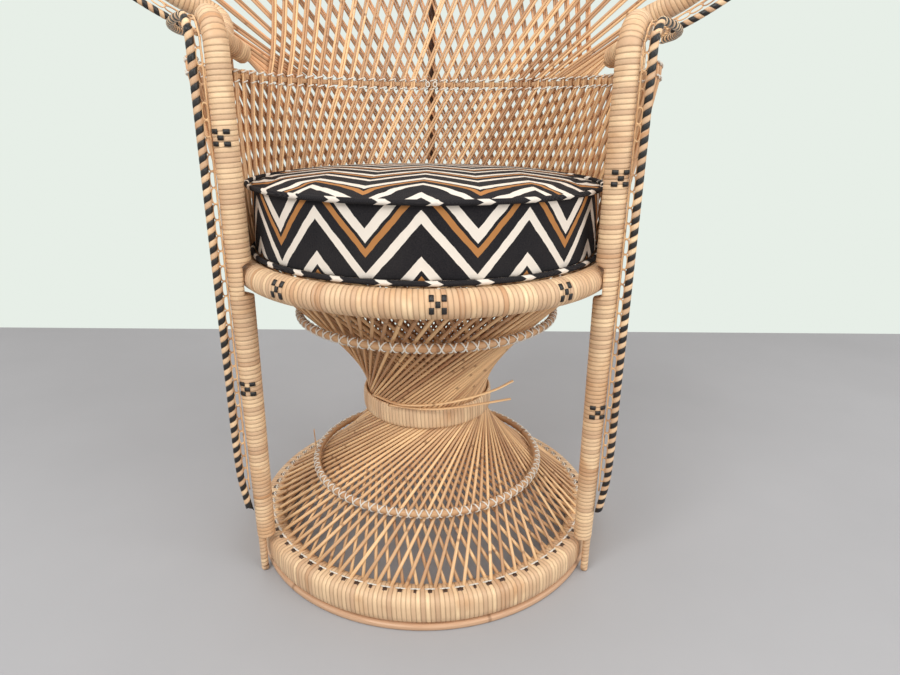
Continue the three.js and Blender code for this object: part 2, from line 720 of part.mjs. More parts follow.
// Part of one layer of the back: canes that grow up and down from the flat tie that binds them
function backCanes(lean, offset, first, count) {
  const edge = fanEdge();
  const points = [];
  const faces = [];
  const shareOf = (place) => (first + place) / BACK_CANES;
  const stub = (place, side) => {
    const angle = bucketAngle(shareOf(place), lean);
    const outward = new THREE.Vector3(Math.sin(angle), Math.cos(angle), 0);
    const across = new THREE.Vector3(outward.y, -outward.x, 0);
    const start = points.length;
    for (const z of [BAND_BOTTOM, BAND_TOP]) {
      for (const n of [1, -1]) {
        const corner = outward.clone().multiplyScalar(BAND_RADIUS + offset + (n * TIE_THICKNESS) / 2);
        points.push(corner.addScaledVector(across, side * CLEARANCE).setZ(z));
      }
    }
    return { outerLow: start, innerLow: start + 1, outerHigh: start + 2, innerHigh: start + 3 };
  };
  let previous = stub(0, 1);
  faces.push(...tieStart(previous));
  for (let i = 0; i < count; i += 1) {
    const footAngle = bucketAngle(shareOf(i + 0.5), -lean);
    const bandAngle = bucketAngle(shareOf(i + 0.5), lean);
    const rise = BAND_BOTTOM - FLAT_TOP;
    const bucketLean = (BAND_RADIUS * (bandAngle - footAngle)) / rise;
    const level = (angle, radius, z, thickness) => {
      const outward = new THREE.Vector3(Math.sin(angle), Math.cos(angle), 0);
      const middle = outward.clone().multiplyScalar(radius + offset).setZ(z);
      return caneSection(middle, outward, bucketLean, thickness);
    };
    const middleAngle = (footAngle + bandAngle) / 2;
    const middleRadius = (FOOT_RADIUS + BAND_RADIUS) / 2;
    const rings = [
      level(footAngle, FOOT_RADIUS, FLAT_TOP + CLEARANCE, CANE_THICKNESS),
      level(middleAngle, middleRadius, FLAT_TOP + rise / 2, CANE_THICKNESS),
      level(bandAngle, BAND_RADIUS, BAND_BOTTOM, TIE_THICKNESS),
      level(bandAngle, BAND_RADIUS, BAND_TOP, TIE_THICKNESS),
    ];
    if (Math.abs(bandAngle) < FAN_HALF_ANGLE) {
      rings.push(...fanSections(bandAngle, edge, lean, offset));
    }
    const start = points.length;
    points.push(...rings.flat());
    const low = start + 8;
    const high = start + 12;
    faces.push(...cap(start, 4, true), ...sides(start, start + 4, 4), ...sides(start + 4, low, 4));
    faces.push(...quad(low, low + 1, high + 1, high), ...quad(low + 2, low + 3, high + 3, high + 2));
    for (let k = 3; k + 1 < rings.length; k += 1) {
      faces.push(...sides(start + 4 * k, start + 4 * (k + 1), 4));
    }
    faces.push(...cap(start + 4 * (rings.length - 1), 4, false));
    const edges = tieEdges(low, high);
    faces.push(...tieFaces(previous, edges.start));
    previous = edges.end;
  }
  const last = stub(count, -1);
  faces.push(...tieFaces(previous, last), ...tieEnd(last));
  return closedGeometry(points, faces);
}

// Sections of a cane from the tie band up to the fan's edge
function fanSections(bandAngle, edge, lean, offset) {
  const share = 0.5 + bandAngle / (2 * FAN_HALF_ANGLE);
  const start = new THREE.Vector2(BAND_RADIUS * Math.sin(bandAngle), BAND_TOP);
  const fill = share * (1 - FAN_SHIFT);
  const aboveFeet = edge.slice(1, -1);
  const aim = alongRow(aboveFeet, lean > 0 ? FAN_SHIFT + fill : fill);
  const end = start.clone().lerp(aim, firstCrossing(start, aim, edge));
  const slope = (end.x - start.x) / (end.y - start.y);
  const rings = [];
  for (let k = 1; k <= FAN_STATIONS; k += 1) {
    const spot = start.clone().lerp(end, (k / FAN_STATIONS) ** STATION_CROWDING);
    const angle = Math.asin(spot.x / fanCurveRadius(spot.y));
    const outward = new THREE.Vector3(Math.sin(angle), Math.cos(angle), 0);
    rings.push(caneSection(fanPoint(spot.x, spot.y, offset), outward, slope, CANE_THICKNESS));
  }
  return rings;
}

// Points of a half ellipse over the fan, from the right wing to the left one
function fanEllipse(a, b, count) {
  const points = [];
  for (let k = 0; k <= count; k += 1) {
    const angle = WING_ANGLE * (1 - (2 * k) / count);
    points.push(fanPoint(a * Math.sin(angle), FAN_CENTRE + b * Math.cos(angle)));
  }
  return points;
}

// The rim roll stands with both feet on the tie band, outside the arms
function rollPath() {
  const foot = [CLEARANCE, ROLL_FOOT_HEIGHT].map((rise) => (
    polar(ROLL_FOOT_RADIUS, Math.PI / 2 - ROLL_FOOT_ANGLE, BAND_TOP + rise)
  ));
  return [...foot, ...fanEllipse(ROLL_A, ROLL_B, 36), ...mirrored(foot).reverse()];
}

function rimRoll(radius) {
  return bar(rollPath(), radius, ROLL_FACETS, 44);
}

function fanBorder() {
  return bar(fanEllipse(BORDER_A, BORDER_B, 36), BORDER_RADIUS, 6, 44);
}

function fanLace() {
  const inner = ROLL_RADIUS + CLEARANCE + LACE_REACH;
  const outer = BORDER_STEP - BORDER_RADIUS - 1.5 * CLEARANCE - LACE_REACH;
  const points = [];
  const normals = [];
  for (let k = 0; k <= FAN_LACE_BENDS; k += 1) {
    const angle = (WING_ANGLE - LACE_SPARE) * (1 - (2 * k) / FAN_LACE_BENDS);
    const step = k % 2 === 0 ? inner : outer;
    const x = (ROLL_A + step) * Math.sin(angle);
    const z = FAN_CENTRE + (ROLL_B + step) * Math.cos(angle);
    points.push(fanPoint(x, z));
    normals.push(fanPoint(x, z, 1).sub(fanPoint(x, z)));
  }
  return bentCane(points, LACE_RADIUS, normals);
}

function archPath() {
  const points = [];
  const count = 24;
  for (let k = 0; k <= count; k += 1) {
    const spot = archSpot(k / count, 0);
    points.push(fanPoint(spot.x, spot.y));
  }
  return points;
}

function arch(radius) {
  return bar(archPath(), radius, ARCH_FACETS, 26);
}

// Spokes zigzag between arch and rim roll with flat tips; the two layers mirror each other
function spokes(phase, offset) {
  const points = [];
  const normals = [];
  const archReach = spokeReach(ARCH_RADIUS, ARCH_FACETS);
  const rollReach = spokeReach(ROLL_RADIUS, ROLL_FACETS);
  for (let k = 0; k < SPOKE_TIPS; k += 1) {
    const middle = THREE.MathUtils.lerp(FIRST_SPOKE, 1 - FIRST_SPOKE, k / (SPOKE_TIPS - 1));
    const onArch = (k + phase) % 2 === 0;
    for (const t of [middle - SPOKE_TIP_HALF, middle + SPOKE_TIP_HALF]) {
      const spot = onArch ? archSpot(t, archReach) : rollSpot(t, rollReach);
      points.push(fanPoint(spot.x, spot.y, offset));
      normals.push(fanPoint(spot.x, spot.y, 1).sub(fanPoint(spot.x, spot.y)));
    }
  }
  return bentCane(points, CANE_THICKNESS / 2, normals);
}

// How far a spoke's tip lies from the centre line of the bar that it is seated on
function spokeReach(radius, facets) {
  const flatDepth = radius * (1 - Math.cos(Math.PI / facets));
  return radius + CANE_THICKNESS / 2 + CLEARANCE - SPOKE_SEAT * flatDepth;
}

// A place at a step outside the arch, from its right end at 0 to its left end at 1
function archSpot(t, step) {
  const x = (archHalfWidth() + step) * Math.cos(Math.PI * t);
  return new THREE.Vector2(x, SPRING_Z + (ARCH_B + step) * Math.sin(Math.PI * t));
}

// A place inside the rim roll that faces the arch's place
function rollSpot(t, step) {
  const angle = Math.PI * (0.5 - t) * SPOKE_SPREAD;
  const x = (ROLL_A - step) * Math.sin(angle);
  return new THREE.Vector2(x, FAN_CENTRE + (ROLL_B - step) * Math.cos(angle));
}

// The rib stands on the seat ring behind both layers and ends behind the arch
function centreRib() {
  const behind = LAYER_STEP + TIE_THICKNESS / 2 + RIB_RADIUS + CLEARANCE;
  const foot = new THREE.Vector3(0, FOOT_RADIUS + behind, SEAT_HEIGHT);
  const band = new THREE.Vector3(0, BAND_RADIUS + behind, (BAND_BOTTOM + BAND_TOP) / 2);
  const top = SPRING_Z + ARCH_B;
  const points = [foot, band];
  for (const share of [0.35, 0.7, 1]) {
    const z = THREE.MathUtils.lerp(BAND_TOP, top + RIB_RISE, share);
    points.push(fanPoint(0, z, behind + RIB_LEAN * share));
  }
  return bar(points, RIB_RADIUS, 6, 8);
}

// Cushion: piping rings, a boxing band that is drawn in, crowned panels and a foam core
function cushionPiping(z) {
  const profile = [];
  const corners = 6;
  for (let k = 0; k < corners; k += 1) {
    const angle = (2 * Math.PI * (k + 0.5)) / corners;
    profile.push([
      CUSHION_RADIUS - PIPING_RADIUS + PIPING_RADIUS * Math.cos(angle),
      z + PIPING_RADIUS * Math.sin(angle),
    ]);
  }
  return turned(profile, CUSHION_FACETS);
}

function cushionBoxing() {
  const outer = CUSHION_RADIUS - PIPING_RADIUS / 2;
  const low = CUSHION_BOTTOM + 2 * PIPING_RADIUS + CLEARANCE;
  const high = CUSHION_TOP - 2 * PIPING_RADIUS - CLEARANCE;
  const middle = (low + high) / 2;
  return turned([
    [outer - COVER, low],
    [outer, low],
    [outer - CUSHION_DRAWN, middle],
    [outer, high],
    [outer - COVER, high],
    [outer - COVER - CUSHION_DRAWN, middle],
  ], CUSHION_FACETS);
}

// Height of the crown over the panel's edge at a share of its radius
function crown(share) {
  return CUSHION_CROWN * (1 - share * share);
}

const PANEL_RADIUS = CUSHION_RADIUS - 2 * PIPING_RADIUS - CLEARANCE;
const PANEL_EDGE = CUSHION_TOP - PIPING_RADIUS;

function crownRow(drop, shares) {
  return shares.map((share) => [PANEL_RADIUS * share, PANEL_EDGE + crown(share) - drop]);
}

function cushionTop() {
  const rising = [0, 0.4, 0.75, 1];
  const falling = [...rising].reverse();
  return turned([...crownRow(COVER / 2, rising), ...crownRow(-COVER / 2, falling)], CUSHION_FACETS);
}

function cushionBottom() {
  return turned([
    [0, CUSHION_BOTTOM],
    [PANEL_RADIUS, CUSHION_BOTTOM],
    [PANEL_RADIUS, CUSHION_BOTTOM + COVER],
    [0, CUSHION_BOTTOM + COVER],
  ], CUSHION_FACETS);
}

function cushionFoam() {
  const low = CUSHION_BOTTOM + COVER + CLEARANCE;
  return turned([
    [0, low],
    [PANEL_RADIUS, low],
    [PANEL_RADIUS - CUSHION_DRAWN, (low + PANEL_EDGE) / 2],
    ...crownRow(COVER / 2 + CLEARANCE, [1, 0.75, 0.4, 0]),
  ], CUSHION_FACETS);
}

// Assembly of base and seat
piece('base_rim_hoop', baseRim(), 'cane');
piece('base_ring', baseRing(), 'winding');
['right', 'rear', 'left', 'front'].forEach((place, quarter) => {
  ['outer', 'inner'].forEach((name, layer) => {
    const { foot, head } = family(layer);
    piece(`base_canes_${name}_${place}_lower`, baseCanes(layer, quarter, foot), 'cane');
    piece(`base_canes_${name}_${place}_upper`, baseCanes(layer, quarter, head), 'cane');
  });
});
piece('lower_hoop', tiedHoop(0.24 * SEAT_HEIGHT), 'winding');
piece('waist_band', waistBand(), 'winding');
piece('upper_hoop', tiedHoop(0.81 * SEAT_HEIGHT), 'winding');
piece('seat_ring', seatRing(), 'winding');
piece('seat_deck', seatDeck(), 'deck');

// Posts, arms, borders and laces, built on the right and mirrored to the left
const SIDE_LACE = sideLace();
for (const [name, mirror] of [['right', 1], ['left', -1]]) {
  const flip = (rings) => (mirror === 1 ? rings : rings.map(mirrored));
  piece(`${name}_outer_pole`, loft(flip(outerPole())), 'winding');
  piece(`${name}_lower_strut`, loft(flip(lowerStrut())), 'winding');
  piece(`${name}_upper_pole`, loft(flip(upperPole())), 'winding');
  piece(`${name}_side_border`, bar(flip([sideBorderPath()])[0], BORDER_RADIUS, 6, 22), 'striped');
  piece(`${name}_side_lace`, welded(SIDE_LACE.clone().scale(mirror, 1, 1)), 'cane');
}

// Back and fan
const ROLL_CUT = rimRoll(ROLL_RADIUS + CLEARANCE);
const ARCH_CUT = arch(ARCH_RADIUS + CLEARANCE);
const THIRD = BACK_CANES / 3;
['left', 'centre', 'right'].forEach((place, third) => {
  const frontFirst = third * THIRD - (place === 'right' ? 1 : 0);
  const rearFirst = third * THIRD + (place === 'centre' ? 1 : 0);
  const frontCount = [THIRD, THIRD - 1, THIRD + 1][third];
  const rearCount = [THIRD + 1, THIRD - 1, THIRD][third];
  const front = backCanes(1, -LAYER_STEP, frontFirst, frontCount);
  const rear = backCanes(-1, LAYER_STEP, rearFirst, rearCount);
  piece(`back_canes_front_${place}`, cutBack(front, [ROLL_CUT, ARCH_CUT]), 'cane');
  piece(`back_canes_rear_${place}`, cutBack(rear, [ROLL_CUT, ARCH_CUT]), 'cane');
});
piece('back_centre_rib', centreRib(), 'cane');
piece('fan_rim_roll', rimRoll(ROLL_RADIUS), 'winding');
piece('fan_lace', fanLace(), 'cane');
piece('fan_border', fanBorder(), 'striped');
piece('fan_arch', cutBack(arch(ARCH_RADIUS), [ROLL_CUT]), 'winding');
piece('fan_spokes_front', spokes(0, -LAYER_STEP), 'cane');
piece('fan_spokes_rear', spokes(1, LAYER_STEP), 'cane');

// Cushion
piece('cushion_foam', cushionFoam(), 'foam');
piece('cushion_bottom_panel', cushionBottom(), 'print');
piece('cushion_bottom_piping', cushionPiping(CUSHION_BOTTOM + PIPING_RADIUS), 'piping');
piece('cushion_boxing', cushionBoxing(), 'print');
piece('cushion_top_piping', cushionPiping(CUSHION_TOP - PIPING_RADIUS), 'piping');
piece('cushion_top_panel', cushionTop(), 'print');

// The chair's box stands centred on the origin, on the floor
const box = new THREE.Box3().setFromObject(chair);
const centre = box.getCenter(new THREE.Vector3());
chair.position.set(-centre.x, -centre.y, -box.min.z);

export default chair;
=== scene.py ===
"""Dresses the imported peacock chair: wound rings and posts, crossing canes, laces and a soft cushion."""

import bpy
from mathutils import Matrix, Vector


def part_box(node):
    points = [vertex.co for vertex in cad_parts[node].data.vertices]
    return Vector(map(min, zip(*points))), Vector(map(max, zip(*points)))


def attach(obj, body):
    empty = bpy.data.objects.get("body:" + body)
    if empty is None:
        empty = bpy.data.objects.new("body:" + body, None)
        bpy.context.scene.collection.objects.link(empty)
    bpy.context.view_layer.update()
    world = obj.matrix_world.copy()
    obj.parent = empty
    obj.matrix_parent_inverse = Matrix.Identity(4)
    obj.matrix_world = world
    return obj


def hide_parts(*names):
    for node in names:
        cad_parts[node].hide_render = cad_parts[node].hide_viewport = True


bl_info = {
    "name": "Peacock chair",
    "version": (1, 0, 0),
    "blender": (4, 5, 0),
    "location": "View3D > Sidebar > Chair",
    "description": "Builds the woven looks of a peacock chair round its packed frame",
    "category": "Object",
}

import math

import bpy
import numpy as np
from mathutils import Matrix, Vector

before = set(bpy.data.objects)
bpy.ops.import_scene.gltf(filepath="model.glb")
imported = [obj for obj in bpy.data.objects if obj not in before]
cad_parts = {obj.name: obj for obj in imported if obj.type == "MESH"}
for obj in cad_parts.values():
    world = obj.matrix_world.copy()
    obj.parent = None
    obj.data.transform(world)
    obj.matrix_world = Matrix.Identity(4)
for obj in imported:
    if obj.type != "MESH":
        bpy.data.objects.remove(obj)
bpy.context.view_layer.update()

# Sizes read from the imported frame, in metres
BASE_LOW, BASE_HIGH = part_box("base_ring")
SEAT_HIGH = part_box("seat_ring")[1]
WAIST_LOW, WAIST_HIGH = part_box("waist_band")
CUSHION_LOW, CUSHION_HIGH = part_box("cushion_bottom_piping")
TOP_PIPING_LOW, TOP_PIPING_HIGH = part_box("cushion_top_piping")
BORDER_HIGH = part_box("fan_border")[1]
AXIS_Y = (BASE_LOW.y + BASE_HIGH.y) / 2

RING = SEAT_HIGH.x
SEAT_TOP = SEAT_HIGH.z
SEAT_TUBE = 0.016
SEAT_TUBE_R = RING - SEAT_TUBE
SEAT_TUBE_Z = SEAT_TOP - SEAT_TUBE
FLAT_TOP = SEAT_TUBE_Z + SEAT_TUBE * math.cos(math.pi / 12)
WAIST_Z = (WAIST_LOW.z + WAIST_HIGH.z) / 2
ARM_HEIGHT = 0.7
BAND_TOP = 0.646
BAND_BOTTOM = 0.632
BAND_R = 0.274
FOOT_R = 0.2385
LAYER_STEP = 0.0037
BUCKET_HALF = math.pi / 2 + math.radians(32) - 0.075
BUCKET_SHIFT = 0.11
FAN_HALF = math.radians(62)
FAN_SHIFT = 0.3
LEAN = 0.17
FLAT_CURVE = 1.0
FAN_RISE = BORDER_HIGH.z - BAND_TOP
FAN_CENTRE = BAND_TOP + 0.482 * FAN_RISE
BORDER_R = 0.0045
BORDER_A = BORDER_HIGH.x - BORDER_R
BORDER_B = BORDER_HIGH.z - BORDER_R - FAN_CENTRE
BORDER_STEP = 0.027
ROLL_R = 0.015
ROLL_A = BORDER_A - BORDER_STEP
ROLL_B = BORDER_B - BORDER_STEP
ARCH_R = 0.008
WING = math.radians(146)
WING_X = BORDER_A * math.sin(WING)
WING_RISE = FAN_CENTRE + BORDER_B * math.cos(WING) - BAND_TOP
FLARE = -WING_RISE / math.log((1 / (1.11 * WING_X) - FLAT_CURVE) / (1 / BAND_R - FLAT_CURVE))
SPRING_Z = BAND_TOP + 0.1713 * FAN_RISE
ARCH_B = 0.4427 * FAN_RISE
SPRING = math.acos((SPRING_Z - FAN_CENTRE) / ROLL_B)
ARCH_A = ROLL_A * math.sin(SPRING)
ROLL_FOOT_R = 0.285
ROLL_FOOT = math.radians(76)
POST_R = RING + 0.001
POST_ANGLE = math.radians(-32)
POST_DEPTH = 0.013
ARM_BEND = 0.034
ARM_Z = ARM_HEIGHT - POST_DEPTH
ARM_END_R = BAND_R - LAYER_STEP - 0.0034 - 0.001 - POST_DEPTH
SIDE_STEP = 0.026
BORDER_END_R = WING_X / math.cos(math.radians(13)) + 0.0016
UP = np.array([0.0, 0.0, 1.0])

# Checker marks: degrees round the seat ring, and heights on the two posts
SEAT_MARKS = (-128.5, -86.0, -51.75)
POST_MARKS = {"left": (0.566, 0.274), "right": (0.528, 0.245)}

CHECK_SIDE = 0.0064

# Cane ends that have sprung out over the waist, and a stub that stands up at the lower hoop
LOOSE_ENDS = (
    (((-0.073, -0.061, 0.229), (-0.03, -0.099, 0.2315), (0.03, -0.105, 0.238), (0.085, -0.1, 0.252),
      (0.115, -0.092, 0.264)), (0, -0.5, 0.87)),
    (((-0.05, -0.089, 0.2265), (0.0, -0.102, 0.227), (0.05, -0.1, 0.23), (0.113, -0.09, 0.237)),
     (0, -0.5, 0.87)),
    (((-0.166, -0.012, 0.092), (-0.167, -0.013, 0.12), (-0.168, -0.014, 0.15)), (-1, 0, 0)),
)

# The winding comes down over the upper part of the rim hoop, so only this share of the hoop shows
RIM_SHOWN = 0.58
RIM_STEPS = 320
RIM_SIDES = 20

# Base canes: name, radius at the waist, way of leaning, radius at the foot and at the head
BASE_FAMILIES = (("outer", 0.0845, 1, 0.23475, 0.22375), ("inner", 0.075, -1, 0.22525, 0.21425))
CANE_FOOT_Z = 0.0425
CANE_HEAD_Z = 0.3995

# Paired canes of back and fan: half the step between the two, and half their width and depth
PAIR_STEP = 0.00205
PAIR_WIDE = 0.002
PAIR_DEEP = 0.0019

# Ties round the hoops, loops of the laces, the deck, the pegs under the posts and the piping
TIE_REACH = 0.0056
LOOP_WIDE = 0.0032
LOOP_THICK = 0.0009
DECK_R = 0.2195
DECK_PITCH = 0.0142
DECK_Z = 0.4209
DECK_WAVE = 0.0014
PEG_R = 0.2587
PIPING_R = 0.0031

# The cushion's print and cloth, and how it is filled
ZIG_HALF = 0.0602
ZIG_SLOPE = 1.1
PRINT_R = 0.2302
THREAD_PITCH = 0.0011
COVER_SIDES = 72
COVER_VOXEL = 0.005
FILL_PRESSURE = 4.0
FILL_STEPS = 20
SEAM_HOLD = 0.03

# Lamps: name, place, size and power
LAMPS = (
    ("key", (-1.1, -1.9, 2.2), 1.6, 41.0),
    ("fill", (1.7, -1.5, 1.5), 1.8, 28.0),
    ("top", (0.0, 0.2, 2.9), 1.8, 12.0),
)
LAMP_AIM_Z = 0.5
ROOM_LIGHT = 0.68
FLOOR_WIDE = 4.0
FLOOR_REAR = 0.8

# Camera: pitch, yaw and roll in degrees, place from the chair's axis and lens in millimetres
CAMERA_TURN = (19.39, 0.58, 0.6)
CAMERA_PLACE = (0.0238, -0.8497, 0.5901)
CAMERA_LENS = 25.15

# Samples across one wound strip, and how deep each lies in the groove between strips
FRACTIONS = np.array([0.0, 0.07, 0.3, 0.7, 0.93])
DIP = np.array([-1.0, -0.2, 0.0, 0.0, -0.2])


def polar(radius, angle, z):
    """A point round the chair's axis."""
    return np.array([radius * math.cos(angle), radius * math.sin(angle), z])


def unit(vectors):
    """The vectors at length one."""
    return vectors / np.maximum(np.linalg.norm(vectors, axis=-1, keepdims=True), 1e-12)


def noise(seed, count):
    """A fixed row of shares from 0 to 1."""
    return np.random.default_rng(seed).random(count)


def smooth(points, closed=False, steps=8):
    """A row of points on a smooth curve through the given ones."""
    p = np.asarray(points, float)
    if closed:
        p = np.vstack([p[-1:], p, p[:2]])
    else:
        p = np.vstack([2 * p[:1] - p[1:2], p, 2 * p[-1:] - p[-2:-1]])
    t = np.linspace(0, 1, steps, endpoint=False)[:, None]
    rows = []
    for a, b, c, d in zip(p[:-3], p[1:-2], p[2:-1], p[3:]):
        bend = (2 * a - 5 * b + 4 * c - d) * t**2 + (3 * b - a - 3 * c + d) * t**3
        rows.append(0.5 * (2 * b + (c - a) * t + bend))
    if not closed:
        rows.append(p[-2:-1])
    return np.vstack(rows)


class Route:
    """A smooth line with a facing direction, measured by its length."""

    def __init__(self, points, facing, closed=False, steps=8):
        self.closed = closed
        line = smooth(points, closed, steps)
        faces = np.broadcast_to(np.asarray(facing, float), np.shape(points))
        faces = smooth(faces, closed, steps)
        if closed:
            line = np.vstack([line, line[:1]])
            faces = np.vstack([faces, faces[:1]])
        self.marks = np.concatenate([[0], np.cumsum(np.linalg.norm(np.diff(line, axis=0), axis=1))])
        self.length = self.marks[-1]
        tangents = np.gradient(line, axis=0)
        if closed:
            tangents[0] = tangents[-1] = line[1] - line[-2]
        self.columns = np.hstack([line, unit(tangents), unit(faces)])

    def at(self, marks):
        """Centres, directions along, facing directions and directions across at the given lengths."""
        marks = np.asarray(marks, float)
        held = np.mod(marks, self.length) if self.closed else np.clip(marks, 0, self.length)
        table = np.stack([np.interp(held, self.marks, c) for c in self.columns.T], axis=-1)
        along = unit(table[..., 3:6])
        centre = table[..., :3]
        if not self.closed:
            centre = centre + along * (marks - held)[..., None]
        out = table[..., 6:]
        out = unit(out - along * np.sum(out * along, axis=-1, keepdims=True))
        return centre, along, out, np.cross(along, out)


class Weave:
    """Gathers the strands of one piece, with what its finishes read at each corner."""

    def __init__(self):
        self.points = []
        self.faces = []
        self.finishes = []
        self.rows = {"turn": [], "edge": [], "tint": []}
        self.count = 0

    def add(self, points, faces, finishes, turn, edge, tint):
        """Adds one strand."""
        points = np.asarray(points, float).reshape(-1, 3)
        self.points.append(points)
        self.faces.extend([tuple(int(i) + self.count for i in face) for face in faces])
        self.finishes.extend(finishes)
        for name, value in (("turn", turn), ("edge", edge), ("tint", tint)):
            self.rows[name].append(np.broadcast_to(np.ravel(value), (len(points),)))
        self.count += len(points)

    def piece(self, name, finishes, body, slot, nodes=()):
        """The finished piece, riding on its body in place of the named solids."""
        points = np.vstack(self.points) + np.array([0, AXIS_Y, 0])
        mesh = bpy.data.meshes.new(name)
        mesh.from_pydata(points.tolist(), [], self.faces)
        for finish in finishes:
            mesh.materials.append(finish)
        mesh.polygons.foreach_set("material_index", self.finishes)
        for row, values in self.rows.items():
            layer = mesh.attributes.new(row, "FLOAT", "POINT")
            layer.data.foreach_set("value", np.concatenate(values).astype(np.float32))
        mesh.shade_smooth()
        mesh.update()
        piece = bpy.data.objects.new(name, mesh)
        bpy.context.scene.collection.objects.link(piece)
        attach(piece, body)
        if nodes:
            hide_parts(*nodes)
        return piece


def oval(half_out, half_across, sides=12, power=2.0):
    """Corners of a rounded cut, starting on the side that faces away."""
    angle = math.pi + 2 * math.pi * np.arange(sides) / sides
    c, s = np.cos(angle), np.sin(angle)
    shape = (np.abs(c) ** power + np.abs(s) ** power) ** (-1 / power)
    return np.stack([half_out * c * shape, half_across * s * shape], axis=-1)


def wound(weave, route, cut, strip, starts=1, groove=0.00055, finishes=(0,), seed=1, fit=None):
    """Winds split strips round a route as a true helix, one turn beside the other."""
    count = max(starts, starts * round(route.length / strip / starts))
    width = route.length / count
    sides = len(cut)
    rings = 5 * count
    row = np.arange(rings)
    mark = (row // 5 + FRACTIONS[row % 5]) * width
    marks = mark[:, None] + np.arange(sides)[None, :] / sides * starts * width
    corners = np.broadcast_to(cut, (rings, sides, 2)) if fit is None else fit(route, marks, cut)
    centre, _, out, across = route.at(marks)
    size = np.maximum(np.linalg.norm(corners, axis=-1, keepdims=True), 1e-6)
    wander = 1 + 0.25 * (noise(seed + 7, count)[row // 5] - 0.5)
    corners = corners * (1 + groove * (DIP[row % 5] * wander)[:, None, None] / size)
    points = centre + out * corners[..., :1] + across * corners[..., 1:]
    shift = 5 * starts
    faces = []
    owners = []
    last = rings if route.closed else rings - 1
    for i in range(last):
        j = (i + 1) % rings
        finish = finishes[(i // 5) % len(finishes)]
        for k in range(sides - 1):
            faces.append((i * sides + k, i * sides + k + 1, j * sides + k + 1, j * sides + k))
            owners.append(finish)
        if route.closed or i + 1 + shift < rings:
            a = ((i + shift) % rings) * sides
            b = ((j + shift) % rings) * sides
            faces.append((i * sides + sides - 1, a, b, j * sides + sides - 1))
            owners.append(finish)
    if not route.closed:
        first = [k for k in range(sides)] + [i * sides for i in range(shift, 0, -1)]
        end = rings - 1
        final = [end * sides + k for k in range(sides)]
        final += [i * sides + sides - 1 for i in range(end - 1, end - shift - 1, -1)]
        faces += [first[::-1], final]
        owners += [finishes[0], finishes[-1]]
    shade = noise(seed, count)
    shade = 0.75 * shade + 0.25 * np.convolve(noise(seed + 1, count + 8), np.ones(9) / 9, "valid")
    turn = (row // 5 // starts)[:, None] + np.arange(sides)[None, :] / sides
    edge = np.abs(2 * FRACTIONS[row % 5] - 1)
    weave.add(points, faces, owners, turn, np.repeat(edge, sides), np.repeat(shade[row // 5], sides))


def cane(weave, points, facing, half_width, half_depth, sides=8, tint=0.5, closed=False, finish=0):
    """A plain strand along a row of points, flat side towards its facing direction."""
    points = np.asarray(points, float)
    count = len(points)
    if closed:
        along = np.roll(points, -1, axis=0) - np.roll(points, 1, axis=0)
    else:
        along = np.gradient(points, axis=0)
    along = unit(along)
    out = np.broadcast_to(np.asarray(facing, float), points.shape)
    out = unit(out - along * np.sum(out * along, axis=-1, keepdims=True))
    across = np.cross(along, out)
    angle = 2 * math.pi * np.arange(sides) / sides
    wide = np.broadcast_to(np.asarray(half_width, float), (count,))[:, None, None]
    deep = np.broadcast_to(np.asarray(half_depth, float), (count,))[:, None, None]
    ring = points[:, None] + out[:, None] * deep * np.cos(angle)[None, :, None]
    ring = ring + across[:, None] * wide * np.sin(angle)[None, :, None]
    faces = []
    for i in range(count if closed else count - 1):
        j = (i + 1) % count
        for k in range(sides):
            n = (k + 1) % sides
            faces.append((i * sides + k, i * sides + n, j * sides + n, j * sides + k))
    if not closed:
        faces.append(tuple(range(sides - 1, -1, -1)))
        faces.append(tuple(range((count - 1) * sides, count * sides)))
    steps = np.linalg.norm(np.diff(points, axis=0), axis=1)
    run = np.concatenate([[0], np.cumsum(steps)]) + 3.7 * tint
    edge = np.tile(np.abs(np.sin(angle)), count)
    weave.add(ring, faces, [finish] * len(faces), np.repeat(run, sides), edge, tint)


def hoop(radius, z, count=96):
    """Points and facing directions of a level hoop."""
    angle = 2 * math.pi * np.arange(count) / count
    round_ = np.stack([np.cos(angle), np.sin(angle), 0 * angle], axis=-1)
    return radius * round_ + z * UP, round_


def mirrored(points):
    """The same points on the chair's left side."""
    return np.asarray(points) * np.array([-1.0, 1.0, 1.0])


# The fan surface: a leaning sheet that is curled at the tie band and flattens upwards


def fan_point(x, z, offset=0.0):
    """Points of the fan at places in the front view, set back by the offset."""
    x = np.asarray(x, float)
    z = np.asarray(z, float)
    fade = np.exp(-(z - BAND_TOP) / FLARE)
    radius = 1 / (FLAT_CURVE + (1 / BAND_R - FLAT_CURVE) * fade)
    angle = np.arcsin(np.clip(x / radius, -1, 1))
    rear = BAND_R + LEAN * (z - BAND_TOP)
    spot = np.stack([x, rear - radius * (1 - np.cos(angle)), z], axis=-1)
    return spot + fan_facing(x, z) * np.asarray(offset)[..., None]


def fan_facing(x, z):
    """Directions away from the sitter at places on the fan."""
    fade = np.exp(-(np.asarray(z, float) - BAND_TOP) / FLARE)
    angle = np.arcsin(np.clip(np.asarray(x, float) * (FLAT_CURVE + (1 / BAND_R - FLAT_CURVE) * fade), -1, 1))
    return np.stack([np.sin(angle), np.cos(angle), 0 * angle], axis=-1)


def fan_oval(a, b, count, reach=WING):
    """Places of an oval line over the fan in the front view, from the right wing to the left."""
    angle = reach * (1 - 2 * np.arange(count + 1) / count)
    return a * np.sin(angle), FAN_CENTRE + b * np.cos(angle)


def arch_place(t, step=0.0):
    """Places along the arch, from its right end at 0 to its left end at 1."""
    t = np.asarray(t, float)
    return (ARCH_A + step) * np.cos(math.pi * t), SPRING_Z + (ARCH_B + step) * np.sin(math.pi * t)


